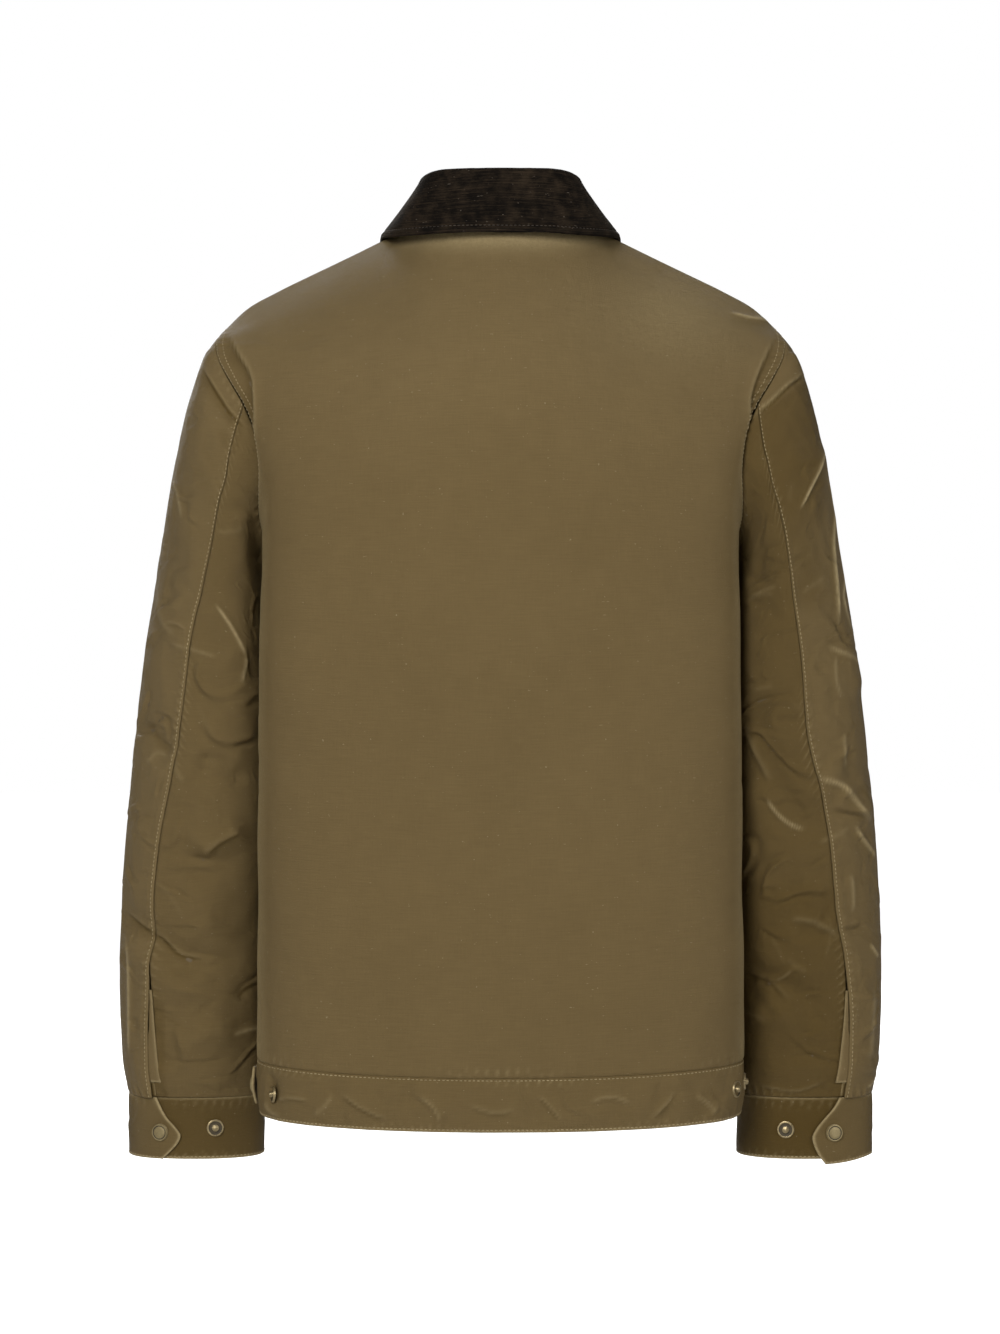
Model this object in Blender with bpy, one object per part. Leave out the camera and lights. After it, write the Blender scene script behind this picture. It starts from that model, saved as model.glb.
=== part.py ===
"""Waxed cotton jacket in its worn form, hollow and held up at the shoulders.

The jacket faces -Y, its own left is +X and Z is up. The origin lies midway between the two side
neck points. Sizes are in millimetres and become metres where a mesh is made.

Every cloth piece is a grid of points on its outer face, with rows from the bottom up and columns
counterclockwise as seen from above, so that row x column order gives the outward normal.
"""
import math
from typing import NamedTuple

import bpy
import numpy as np
from mathutils import Matrix

MM = 0.001
GAP = 0.3                    # between two pieces at a seam
LAY = 0.5                    # below a piece that lies on another
CLOTH = 1.6                  # one layer of waxed cloth with its lining
DOUBLE_CLOTH = 2.4           # cuff, band, tab and placket
CORDUROY = 2.6               # the collar's two layers

# Heights and widths that drive the form.
UNDERARM_Z = -250.0
UNDERARM_ROW_Z = -268.0      # a row of its own just below the underarm
BODY_TOP_ROW_Z = -290.0      # the highest of the evenly spaced body rows
ROW_DIP = 40.0               # the row through the underarm is this much lower at the centre
HEM_SEAM_Z = -650.0
HEM_Z = -690.0
CUFF_SEAM_Z = -678.5
CUFF_Z = -726.0
NECK_HALF_WIDTH = 75.0
NECK_SIDE_Y = 8.0
NECK_BACK_DEPTH = 60.0
NECK_BACK_DROP = 6.0
NECK_FRONT_DEPTH = 72.0
NECK_FRONT_DROP = 70.0
DENT_SPREAD = 57.0           # how far the hollow beside each arm reaches, front to back
DENT_FADE = 0.5              # how slowly that hollow fades toward the centre line
SLEEVE_SQUARENESS = 2.2
ARMHOLE_EASE_T = 0.04        # part of the sleeve that eases into the depth of the armhole
PLACKET_HALF_WIDTH = 20.0
PLACKET_TOP_DROP = 0.3       # part of the last row that the placket stops short
HEM_TAPER = 2.5              # the band draws in by this much at its lower edge
HEM_SEAM_LIFT = 7.0          # the band's seam is this much higher at the side than at the centre
HEM_EDGE_LIFT = 5.3          # and its lower edge this much

# How the upper body's grid is filled in between its edges.
TOP_EASE = 2.5               # how late the shoulder's line takes over from the body's section
RELAX_PASSES = 4
RELAX_FROM_ROW = 18          # rows from here up, by the shoulder, also relax sideways

# How seams are cut.
CORNER = 0.64                # two edges of a panel that turn more than this cosine are a corner
PARALLEL = 0.35              # sine below which two directions count as parallel
LEAST_LEAN = 0.7             # limits how far a mitred edge grows
SAME_SURFACE = 0.75          # normals closer than this cosine belong to one surface

# Sides and faces, as the sign of x and of y.
LEFT = 1
RIGHT = -1
BACK = 1
FRONT = -1

# How finely the cloth is divided.
QUARTER_COLUMNS = 12         # from a side seam to the centre line
SHOULDER_COLUMNS = 6         # of those, along the shoulder seam
ARMHOLE_ROWS = 12            # from the underarm to the shoulder tip
BODY_ROWS = 10               # from the hem seam to just below the underarm
SLEEVE_ROWS = 24
REAR_SEAM_COLUMN = 5
FRONT_SEAM_COLUMN = 15
BAND_ROWS = 2
PLACKET_COLUMNS = 4
ROUND_SIDES = 12
CURVE_SAMPLES = 180          # steps of a curve before it is divided evenly


class Section(NamedTuple):
    """A level section of the body."""
    z: float
    half_width: float
    dent: float
    dent_y: float
    squareness: float


SECTIONS = (
    Section(-690, 195, 18, -25, 3.0),
    Section(-650, 195, 18, -25, 3.0),
    Section(-500, 199, 24, -12, 3.0),
    Section(-400, 202, 30, -4, 3.0),
    Section(-300, 204, 35, 0, 3.0),
    Section(-268, 205, 35, 0, 3.0),
    Section(-250, 205, 31, 0, 3.0),
)


class Profile(NamedTuple):
    """A point of the centre line of the back or of the front, seen from the side."""
    z: float
    y: float


CENTRE_BACK = (
    Profile(-690, 120), Profile(-650, 121), Profile(-550, 119), Profile(-400, 120),
    Profile(-250, 122), Profile(-200, 121), Profile(-150, 117), Profile(-100, 109),
    Profile(-60, 97), Profile(-30, 84), Profile(-6, 68),
)
CENTRE_FRONT = (
    Profile(-690, -118), Profile(-650, -119), Profile(-550, -120), Profile(-400, -122),
    Profile(-250, -121), Profile(-190, -116), Profile(-140, -104), Profile(-100, -87),
    Profile(-70, -64),
)


class Shoulder(NamedTuple):
    """A point of the shoulder seam, from its tip at the armhole to the neck."""
    x: float
    y: float
    z: float


SHOULDER_SEAM = (
    Shoulder(219, -4, -82), Shoulder(212, -3, -71), Shoulder(187, -1, -54),
    Shoulder(156, 1, -38.5), Shoulder(106, 5, -15), Shoulder(75, 8, 0),
)


class SleeveRing(NamedTuple):
    """A ring of the sleeve, tilted from its outer point to its inner point.

    Its hollow draws the middle of its front and back toward the body.
    """
    t: float
    outer_x: float
    outer_z: float
    inner_x: float
    inner_z: float
    y: float
    half_depth: float
    hollow: float


SLEEVE_RINGS = (
    SleeveRing(0.00, 219, -82, 174, -250, -2, 60, 9),
    SleeveRing(0.04, 229.5, -97, 180.5, -261, -2, 64, 6),
    SleeveRing(0.08, 238, -117, 183, -275, -2, 67, 3),
    SleeveRing(0.14, 246, -143, 183, -300, -1, 69, 0),
    SleeveRing(0.24, 256.5, -192, 181.5, -340, 0, 69, 0),
    SleeveRing(0.36, 267, -258, 180.5, -388, 0, 66, 0),
    SleeveRing(0.50, 279.5, -337, 181, -445, -2, 62, 0),
    SleeveRing(0.64, 290, -427, 184, -508, -8, 57, 0),
    SleeveRing(0.78, 298.5, -520, 187, -573, -15, 52, 0),
    SleeveRing(0.90, 301, -601, 188, -631, -21, 47, 0),
    SleeveRing(0.96, 299.5, -648, 187.5, -660, -24, 43, 0),
    SleeveRing(1.00, 294.5, CUFF_SEAM_Z, 187, CUFF_SEAM_Z, -25, 39.5, 0),
)


class SeamTurn(NamedTuple):
    """How far round the sleeve its rear seam lies, in degrees from the outer side."""
    t: float
    left: float
    right: float


REAR_SEAM = (
    SeamTurn(0.00, 75, 75), SeamTurn(0.05, 83, 88), SeamTurn(0.10, 89, 92),
    SeamTurn(0.20, 87, 89), SeamTurn(0.30, 82, 87), SeamTurn(0.40, 76, 85),
    SeamTurn(0.50, 75, 86), SeamTurn(0.60, 71, 80), SeamTurn(0.68, 65, 75),
    SeamTurn(0.76, 63, 74), SeamTurn(0.84, 63, 67), SeamTurn(1.00, 58, 62),
)


class Fold(NamedTuple):
    """A ridge (rise > 0) or trough (rise < 0) across a sleeve, seen from behind or in front."""
    sleeve: int
    face: int
    x0: float
    z0: float
    x1: float
    z1: float
    bow: float
    width: float
    rise: float


FOLDS = (
    Fold(LEFT, BACK, 225, -292, 198, -336, 4, 13, 3.5),
    Fold(LEFT, BACK, 284, -384, 254, -407, -3, 11, -4.0),
    Fold(LEFT, BACK, 232, -418, 196, -432, 3, 11, -4.0),
    Fold(LEFT, BACK, 234, -484, 200, -468, -2, 12, 4.0),
    Fold(LEFT, BACK, 238, -503, 202, -487, -2, 11, -3.5),
    Fold(LEFT, BACK, 297, -530, 228, -572, -5, 12, -5.5),
    Fold(LEFT, BACK, 290, -556, 236, -592, -4, 13, 4.0),
    Fold(LEFT, BACK, 250, -640, 210, -624, 0, 15, 3.5),
    Fold(LEFT, FRONT, 282, -372, 236, -398, 4, 12, -5.0),
    Fold(LEFT, FRONT, 262, -420, 206, -404, -4, 13, 4.0),
    Fold(LEFT, FRONT, 286, -478, 214, -452, 5, 12, -5.0),
    Fold(LEFT, FRONT, 290, -560, 226, -596, 3, 13, -4.5),
    Fold(LEFT, FRONT, 232, -262, 200, -318, 5, 14, 3.5),
    Fold(RIGHT, BACK, 254, -172, 232, -224, 4, 12, 3.5),
    Fold(RIGHT, BACK, 262, -325, 283, -358, 3, 12, 3.5),
    Fold(RIGHT, BACK, 198, -366, 203, -415, 3, 11, -3.5),
    Fold(RIGHT, BACK, 200, -412, 242, -473, 4, 12, -4.5),
    Fold(RIGHT, BACK, 250, -426, 288, -459, 3, 12, 4.5),
    Fold(RIGHT, BACK, 190, -580, 247, -611, -4, 12, -5.5),
    Fold(RIGHT, BACK, 200, -604, 250, -634, -4, 13, 3.5),
    Fold(RIGHT, BACK, 276, -676, 296, -656, 0, 10, -2.5),
    Fold(RIGHT, FRONT, 286, -390, 232, -408, -4, 12, -5.0),
    Fold(RIGHT, FRONT, 210, -428, 270, -446, 4, 13, 4.0),
    Fold(RIGHT, FRONT, 290, -492, 220, -470, 5, 12, -5.0),
    Fold(RIGHT, FRONT, 222, -572, 288, -600, -3, 13, -4.5),
)
FOLD_END_EASE = 0.18         # part of a fold's length over which it fades at each end
FOLD_FREE_ROWS = 2           # rows next to a seam that stay unfolded


class CollarStation(NamedTuple):
    """The roll and the free edge of the collar, from centre back (0) to its front end (1)."""
    q: float
    roll_x: float
    roll_y: float
    roll_z: float
    edge_x: float
    edge_y: float
    edge_z: float


COLLAR_STATIONS = (
    CollarStation(0.00, 0, 67, 34, 0, 85, -11.5),
    CollarStation(0.12, 24, 66, 34, 30, 83, -11.5),
    CollarStation(0.25, 46, 57, 34, 61, 70, -11.5),
    CollarStation(0.375, 57, 37, 33, 83, 46, -10.5),
    CollarStation(0.50, 61, 8, 28, 92, 10, -7.5),
    CollarStation(0.625, 59, -18, 14, 94, -28, -16),
    CollarStation(0.75, 49, -43, -9, 90, -60, -40),
    CollarStation(0.875, 33, -62, -36, 76, -86, -72),
    CollarStation(1.00, 8, -74, -60, 50, -101, -106),
)
COLLAR_ROLL_RADIUS = 2.2
COLLAR_END_X = 3.0           # each front end of the collar stops this far from the centre
STAND_ROWS = 2
ROLL_ROWS = 4
FALL_ROWS = 3

CUFF_OUTER_X = 291.0
CUFF_INNER_X = 187.0
CUFF_Y = -25.0
CUFF_HALF_DEPTH = 38.0
CUFF_START = 40.0            # degrees from the outer side where the underlap begins
CUFF_END = 417.0             # where its overlap starts to narrow, one turn further on
CUFF_END_FROM = 0.85         # part of the strip before its columns bend toward its end
CUFF_RISE_FROM = 290.0       # the strip moves outward from here to lie on itself
CUFF_RISE_TO = 375.0
CUFF_DROOP_FROM = 380.0      # the end of the right cuff's strip hangs lower from here on
CUFF_DROOP_TO = 440.0
CUFF_HEIGHTS = (-1.0, -0.6, -0.25, 0.15, 0.6, 1.0)
CUFF_COLUMNS = 30


class CuffEnd(NamedTuple):
    """Degrees to the overlap's end at a height between a cuff's lower edge (-1) and seam (1)."""
    height: float
    left: float
    right: float


CUFF_ENDS = (
    CuffEnd(-1.00, 425.0, 436.0), CuffEnd(-0.77, 431.5, 441.0), CuffEnd(-0.50, 437.5, 444.5),
    CuffEnd(-0.25, 440.0, 446.0), CuffEnd(0.00, 436.5, 443.5), CuffEnd(0.30, 429.0, 437.5),
    CuffEnd(0.65, 423.0, 429.0), CuffEnd(1.00, 418.0, 423.0),
)


class Cuff(NamedTuple):
    """A cuff: how far its end droops, and the turn and height of its cap and its spare stud."""
    name: str
    side: int
    droop: float
    cap_turn: float
    cap_height: float
    stud_turn: float
    stud_height: float


CUFFS = (
    Cuff("left", LEFT, 0.0, 423.5, -0.14, 106.0, 0.0),
    Cuff("right", RIGHT, 4.0, 429.5, -0.10, 106.0, -0.06),
)

VENT_TOP_T = 0.82            # where along the sleeve the vent starts to open
VENT_OPEN_T = 0.10           # and over how much of the sleeve it does
VENT_LIFT = 3.6              # how far the outer sleeve's edge stands off there
VENT_LIFT_COLUMNS = 4        # columns from the edge over which it lies down again
VENT_ROWS = 4
VENT_FOOT = 0.45             # part of the lowest row that the underlap stops short
VENT_START = 0.05            # its edges, as parts of the column beside the rear seam
VENT_TOP_END = 0.12
VENT_FOOT_END = 0.55
VENT_COLUMNS = 2

TAB_HEIGHT = 28.0
TAB_Z = -667.0
TAB_POINT = 9.0
TAB_POINT_FROM = 0.7         # part of the tab before it narrows to its point
TAB_STANDOFF = 3.0
TAB_LIFT_FROM = 0.55         # part of the tab that lies flat before it stands off
TAB_COLUMNS = 8
TAB_ROWS = 4


class Tab(NamedTuple):
    """A hem tab: its reach along the side of the band and the place of its cap."""
    name: str
    side: int
    sewn_y: float
    free_y: float
    cap_y: float


TABS = (
    Tab("left", LEFT, -44, 36, 16),
    Tab("right", RIGHT, -72, 2, -16),
)


class Stud(NamedTuple):
    """A spare stud on the back of the hem band."""
    name: str
    side: int
    y: float
    z: float


HEM_STUDS = (
    Stud("hem_stud_left", LEFT, 79, -667),
    Stud("hem_stud_right_rear", RIGHT, 71, -664),
    Stud("hem_stud_right_side", RIGHT, 49, -661),
)

PLACKET_CAP_HEIGHTS = (-112, -224, -336, -448, -560, -670)
PLACKET_CAP_STEP = 8.0       # a cap takes its tilt from the cloth this far above and below
SNAP_STEP = 3.0              # a cuff's snap takes its tilt from the cloth this many degrees away
SNAP_CROWN = 0.2             # rise of a snap's middle above its last ring


class Turned(NamedTuple):
    """A point of the profile of a turned piece: its radius and its height."""
    radius: float
    height: float


CAP_PROFILE = (
    Turned(6.2, 0), Turned(6.7, 0.9), Turned(6.2, 2.4), Turned(5.2, 2.6),
    Turned(4.5, 2.0), Turned(3.7, 2.0), Turned(3.2, 2.9),
)
STUD_PROFILE = (
    Turned(6.6, 0), Turned(6.9, 1.0), Turned(6.2, 2.1), Turned(5.2, 2.2),
    Turned(4.4, 1.0), Turned(2.5, 0.7), Turned(2.2, 2.4), Turned(1.2, 3.1),
)


class Finish(NamedTuple):
    """Colour, roughness and metallic value of a material."""
    name: str
    colour: tuple
    roughness: float
    metallic: float


WAXED = Finish("waxed_cotton", (0.164, 0.117, 0.055, 1), 0.62, 0.0)
CORD = Finish("corduroy", (0.022, 0.015, 0.010, 1), 0.95, 0.0)
BRASS = Finish("enamelled_snap", (0.21, 0.165, 0.082, 1), 0.42, 0.6)
BRONZE = Finish("bronze_stud", (0.11, 0.075, 0.04, 1), 0.38, 0.9)


# Curves and tables.

def column(rows, key, name, at):
    """Reads a named column of a table at any value of its key column, on a smooth curve."""
    table = sorted((getattr(row, key), getattr(row, name)) for row in rows)
    xs, ys = np.array(table, dtype=float).T
    steps = np.diff(xs)
    slopes = np.diff(ys) / steps
    tangents = np.concatenate((slopes[:1], np.zeros(len(xs) - 2), slopes[-1:]))
    for i in range(1, len(xs) - 1):
        if slopes[i - 1] * slopes[i] > 0:
            tangents[i] = 2 * slopes[i - 1] * slopes[i] / (slopes[i - 1] + slopes[i])
    at = np.clip(np.asarray(at, dtype=float), xs[0], xs[-1])
    i = np.clip(np.searchsorted(xs, at, side="right") - 1, 0, len(steps) - 1)
    u = (at - xs[i]) / steps[i]
    value = (1 + 2 * u) * (1 - u) ** 2 * ys[i] + u ** 2 * (3 - 2 * u) * ys[i + 1]
    return value + steps[i] * u * (1 - u) * ((1 - u) * tangents[i] - u * tangents[i + 1])


def row_at(rows, key, at):
    """Reads every column of a table at a value of its key column."""
    kind = type(rows[0])
    return kind(*(column(rows, key, name, at) for name in kind._fields))


def ease(value):
    """Rises smoothly from 0 to 1 as the value does."""
    value = np.clip(value, 0.0, 1.0)
    return value * value * (3 - 2 * value)


def unit(vectors):
    """Scales vectors to length one."""
    return vectors / np.maximum(np.linalg.norm(vectors, axis=-1, keepdims=True), 1e-9)


def spread(points, count):
    """Places count + 1 points at equal distances along a line of points."""
    lengths = np.linalg.norm(np.diff(points, axis=0), axis=1)
    along = np.concatenate(([0.0], np.cumsum(lengths)))
    wanted = np.linspace(0.0, along[-1], count + 1)
    return np.stack([np.interp(wanted, along, points[:, axis]) for axis in range(3)], axis=1)


def signed_power(value, power):
    """Raises a value's size to a power and keeps its sign."""
    return np.sign(value) * np.abs(value) ** power


def mirror(grid):
    """Mirrors a grid from the left side to the right and keeps it facing outward."""
    return grid[:, ::-1] * np.array([-1.0, 1.0, 1.0])


# The body.

def section_curve(z, face):
    """Quarter of a level section on the left, from the side seam to the centre line."""
    turn = np.linspace(0.0, math.pi / 2, CURVE_SAMPLES + 1)
    section = row_at(SECTIONS, "z", z)
    power = 2 / section.squareness
    centre = CENTRE_BACK if face == BACK else CENTRE_FRONT
    taper = HEM_TAPER * max(0.0, (HEM_SEAM_Z - z) / (HEM_SEAM_Z - HEM_Z))
    x = (section.half_width - taper) * signed_power(np.cos(turn), power)
    y = column(centre, "z", "y", z) * signed_power(np.sin(turn), power)
    offset = (y - section.dent_y) / DENT_SPREAD
    x = x - section.dent * np.exp(-offset ** 2) * np.cos(turn) ** DENT_FADE
    points = np.stack([x, y, np.full_like(x, z)], axis=1)
    points[-1, 0] = 0.0
    return points


def body_section(z, face, from_y=0.0):
    """Points of a section curve at equal distances, from the side seam or from_y to the centre."""
    points = section_curve(z, face)
    return spread(points[np.abs(points[:, 1]) >= from_y], QUARTER_COLUMNS)


def uneven_row(levels, face, from_y=0.0):
    """A row whose columns, from the side seam to the centre line, have levels of their own."""
    sections = [body_section(z, face, from_y) for z in levels]
    return np.stack([section[j] for j, section in enumerate(sections)])


def dip():
    """How far the row through the underarm has dropped on its way to the centre line."""
    return 1 - (1 - np.linspace(0, 1, QUARTER_COLUMNS + 1)) ** 3


def hem_rise():
    """How much of its side lift the hem still has on its way to the centre line."""
    return (1 - np.linspace(0, 1, QUARTER_COLUMNS + 1) ** 1.5) ** 2


def body_row(edge_z, face, from_y=0.0):
    """A row of the lower body, which follows the hem's lift at its foot and dips at its top."""
    share = (edge_z - HEM_SEAM_Z) / (UNDERARM_Z - HEM_SEAM_Z)
    levels = edge_z + HEM_SEAM_LIFT * (1 - share) * hem_rise() - ROW_DIP * share * dip()
    return uneven_row(levels, face, from_y)


def neckline(face, q):
    """Points of the left half of the neck seam, from the side neck point (0) to the centre (1)."""
    turn = np.asarray(q) * math.pi / 2
    depth = NECK_BACK_DEPTH if face == BACK else -NECK_FRONT_DEPTH
    drop = NECK_BACK_DROP if face == BACK else NECK_FRONT_DROP
    x = NECK_HALF_WIDTH * np.cos(turn)
    y = NECK_SIDE_Y + depth * np.sin(turn)
    z = -drop * np.sin(turn) ** 2
    x = np.where(np.asarray(q) >= 1.0, 0.0, x)
    return np.stack([x, y, z], axis=-1)


def top_edge(face):
    """The shoulder seam and then the neck seam, from the shoulder tip to the centre line."""
    tip_to_neck = np.linspace(SHOULDER_SEAM[0].x, SHOULDER_SEAM[-1].x, CURVE_SAMPLES)
    seam = [tip_to_neck] + [column(SHOULDER_SEAM, "x", name, tip_to_neck) for name in ("y", "z")]
    shoulder = spread(np.stack(seam, axis=1), SHOULDER_COLUMNS)
    neck = neckline(face, np.linspace(0, 1, QUARTER_COLUMNS - SHOULDER_COLUMNS + 1))
    return np.concatenate((shoulder, neck[1:]))


def upper_body(face):
    """Grid of the left half from the underarm to the shoulder, blended between its four edges."""
    t = np.linspace(0, 1, ARMHOLE_ROWS + 1)
    s = np.linspace(0, 1, QUARTER_COLUMNS + 1)
    turn = 180 - 180 * t if face == BACK else 180 + 180 * t
    armhole = sleeve_ring(0.0, turn)
    centre = CENTRE_BACK if face == BACK else CENTRE_FRONT
    centre_z = UNDERARM_Z - ROW_DIP + (centre[-1].z - UNDERARM_Z + ROW_DIP) * t
    centre_line = np.stack([0 * t, column(centre, "z", "y", centre_z), centre_z], axis=1)
    from_y = np.abs(np.where(t < 0.5, armhole[:, 1], armhole[len(t) // 2, 1]))
    bottom = np.stack([body_row(UNDERARM_Z, face, y) for y in from_y])
    top = top_edge(face)
    t = t[:, None, None]
    s = s[None, :, None]
    across = (1 - s) * armhole[:, None] + s * centre_line[:, None]
    bottom_bulge = bottom - (1 - s) * bottom[:, :1] - s * bottom[:, -1:]
    top_bulge = top[None] - (1 - s) * top[0] - s * top[-1]
    weight = t ** TOP_EASE
    return across + (1 - weight) * bottom_bulge + weight * top_bulge


def relaxed(grid):
    """Evens out a grid inside its edges: up and down, and near the shoulder across too."""
    grid = grid.copy()
    across = slice(RELAX_FROM_ROW, -1)
    for _ in range(RELAX_PASSES):
        grid[1:-1, 1:] = grid[1:-1, 1:] / 2 + (grid[:-2, 1:] + grid[2:, 1:]) / 4
        beside = grid[across, :-2] + grid[across, 2:]
        grid[across, 1:-1] = grid[across, 1:-1] / 2 + beside / 4
    return grid


def body_quarter(face):
    """Grid of the left half of the back or front, columns from the side to the centre line."""
    levels = np.linspace(HEM_SEAM_Z, BODY_TOP_ROW_Z, BODY_ROWS)
    lower = np.stack([body_row(z, face) for z in (*levels, UNDERARM_ROW_Z)])
    return relaxed(np.concatenate((lower, upper_body(face))))


def band_quarter(face):
    """Grid of the left half of the hem band's back or front."""
    lower = HEM_Z + HEM_EDGE_LIFT * hem_rise()
    upper = HEM_SEAM_Z + HEM_SEAM_LIFT * hem_rise()
    shares = np.linspace(0, 1, BAND_ROWS + 1)
    return np.stack([uneven_row(lower + (upper - lower) * share, face) for share in shares])


def whole_back(quarter):
    """Joins a left back grid to its mirror image, from the left edge to the right."""
    return np.concatenate((quarter, mirror(quarter)[:, 1:]), axis=1)


# The sleeves.

def sleeve_ring(t, turn):
    """Points of the left sleeve's ring t at angles from its outer side, back first."""
    ring = row_at(SLEEVE_RINGS, "t", t)
    turn = np.radians(turn)
    cos = signed_power(np.cos(turn), 2 / SLEEVE_SQUARENESS)
    sin = signed_power(np.sin(turn), 2 / SLEEVE_SQUARENESS)
    middle_x = (ring.outer_x + ring.inner_x) / 2
    middle_z = (ring.outer_z + ring.inner_z) / 2
    x = middle_x + (ring.outer_x - middle_x) * cos
    x = x - ring.hollow * sin ** 2 * (1 - 4 * cos ** 2)
    z = middle_z + (ring.outer_z - middle_z) * cos
    tip_share = (1 + cos) / 2
    armhole_y = tip_share * SHOULDER_SEAM[0].y
    middle_y = ring.y + ease(1 - t / ARMHOLE_EASE_T) * (armhole_y - ring.y)
    return np.stack([x, middle_y + ring.half_depth * sin, z], axis=-1)


def column_turns(t, side):
    """Angles of a ring's columns, with one of them on the rear seam."""
    rear = float(column(REAR_SEAM, "t", "left" if side == LEFT else "right", t))
    last = 2 * ARMHOLE_ROWS
    corners = (0, REAR_SEAM_COLUMN, ARMHOLE_ROWS, last)
    return np.interp(np.arange(last), corners, (0.0, rear, 180.0, 360.0))


def fold_height(points, normals, side):
    """How far the folds push each point outward."""
    height = np.zeros(points.shape[:-1])
    for fold in FOLDS:
        if fold.sleeve != side:
            continue
        start = np.array([fold.x0, fold.z0])
        run = np.array([fold.x1, fold.z1]) - start
        length = np.linalg.norm(run)
        offset = points[..., (0, 2)] - start
        along = offset @ run / length ** 2
        across = (offset[..., 0] * run[1] - offset[..., 1] * run[0]) / length
        across = across - fold.bow * 4 * along * (1 - along)
        ends = ease((along + FOLD_END_EASE) / (2 * FOLD_END_EASE))
        ends = ends * ease((1 + FOLD_END_EASE - along) / (2 * FOLD_END_EASE))
        facing = ease(0.5 + 1.5 * fold.face * normals[..., 1])
        height += fold.rise * np.exp(-(across / fold.width) ** 2) * ends * facing
    return height


def sleeve_grid(side):
    """Whole sleeve of one side in left-hand place: rows from the cuff up, a closed ring each."""
    levels = np.linspace(1.0, 0.0, SLEEVE_ROWS + 1)
    grid = np.stack([sleeve_ring(t, column_turns(t, side)) for t in levels])
    normals = grid_normals(grid, closed=True)
    height = fold_height(grid, normals, side)
    row = np.arange(len(levels))
    from_seam = np.minimum(row, row[::-1]) / FOLD_FREE_ROWS
    return grid + normals * (height * ease(from_seam)[:, None])[..., None]


# From grids to solids.

def grid_normals(grid, closed=False):
    """Outward normals of a grid, whose columns may close into a ring."""
    if closed:
        around = np.roll(grid, -1, axis=1) - np.roll(grid, 1, axis=1)
    else:
        around = np.gradient(grid, axis=1)
    return unit(np.cross(around, np.gradient(grid, axis=0)))


class Panel:
    """A cloth wall: a grid of outer points, the normals at them and a thickness."""

    def __init__(self, name, grid, thickness, finish, normals=None):
        self.name = name
        self.grid = grid
        self.normals = grid_normals(grid) if normals is None else normals
        self.own_normals = self.normals.copy()
        self.thickness = thickness
        self.finish = finish
        self.reach = np.full(grid.shape[:2], thickness)

    def level_row(self, row):
        """Makes the normals of a row level, so that its end face is level too."""
        self.normals[row, :, 2] = 0.0
        self.normals[row] = unit(self.normals[row])

    def border(self):
        """Places of the border points, counterclockwise as seen from outside."""
        rows, columns = self.grid.shape[:2]
        loop = [(0, j) for j in range(columns)]
        loop += [(i, columns - 1) for i in range(1, rows)]
        loop += [(rows - 1, j) for j in range(columns - 2, -1, -1)]
        return loop + [(i, 0) for i in range(rows - 2, 0, -1)]

    def inward(self, place, way):
        """Direction from a seam into the panel, square to the seam's way and to its end face."""
        into = np.cross(self.own_normals[place], way)
        square = np.cross(way, self.normals[place])
        if np.linalg.norm(square) < PARALLEL:
            return unit(into)
        return unit(square) * (1 if square @ into > 0 else -1)

    def faces(self):
        """Inner points and outer points, after the seam gap is taken off each border."""
        outer = self.grid.copy()
        loop = self.border()
        for before, place, after in zip(loop[-1:] + loop[:-1], loop, loop[1:] + loop[:1]):
            arriving = unit(self.grid[place] - self.grid[before])
            leaving = unit(self.grid[after] - self.grid[place])
            if arriving @ leaving < CORNER:
                shift = self.inward(place, arriving) + self.inward(place, leaving)
            else:
                shift = self.inward(place, unit(arriving + leaving))
            outer[place] = outer[place] + shift * GAP / 2
        return outer - self.normals * self.reach[..., None], outer


def weld_normals(panels):
    """Gives panels that meet at a seam one shared normal at each of its points."""
    meeting = {}
    for panel in panels:
        for place in panel.border():
            key = tuple(np.round(panel.grid[place], 1) + 0.0)
            meeting.setdefault(key, []).append((panel, place))
    for group in meeting.values():
        surfaces = []
        for panel, place in group:
            alike = [total for total in surfaces if unit(total) @ panel.normals[place] > SAME_SURFACE]
            if alike:
                alike[0] += panel.normals[place]
            else:
                surfaces.append(panel.normals[place].copy())
        shared = unit(sum(unit(total) for total in surfaces))
        for panel, place in group:
            lean = max(float(shared @ panel.normals[place]), LEAST_LEAN)
            panel.reach[place] = panel.thickness / lean
            panel.normals[place] = shared


def make_material(finish):
    """Makes the material of a finish, once."""
    material = bpy.data.materials.get(finish.name)
    if material is None:
        material = bpy.data.materials.new(finish.name)
        material.use_nodes = True
        shader = material.node_tree.nodes["Principled BSDF"]
        shader.inputs["Base Color"].default_value = finish.colour
        shader.inputs["Roughness"].default_value = finish.roughness
        shader.inputs["Metallic"].default_value = finish.metallic
        material.diffuse_color = finish.colour
    return material


def make_object(name, points, faces, finish, sharp_angle=40.0):
    """Makes a solid from points in millimetres and hangs it on the jacket's empty."""
    mesh = bpy.data.meshes.new(name)
    mesh.from_pydata([tuple(point) for point in np.asarray(points) * MM], [], faces)
    mesh.materials.append(make_material(finish))
    mesh.shade_smooth()
    mesh.set_sharp_from_angle(angle=math.radians(sharp_angle))
    solid = bpy.data.objects.new(name, mesh)
    bpy.context.collection.objects.link(solid)
    solid.parent = bpy.data.objects["jacket"]
    return solid


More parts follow.
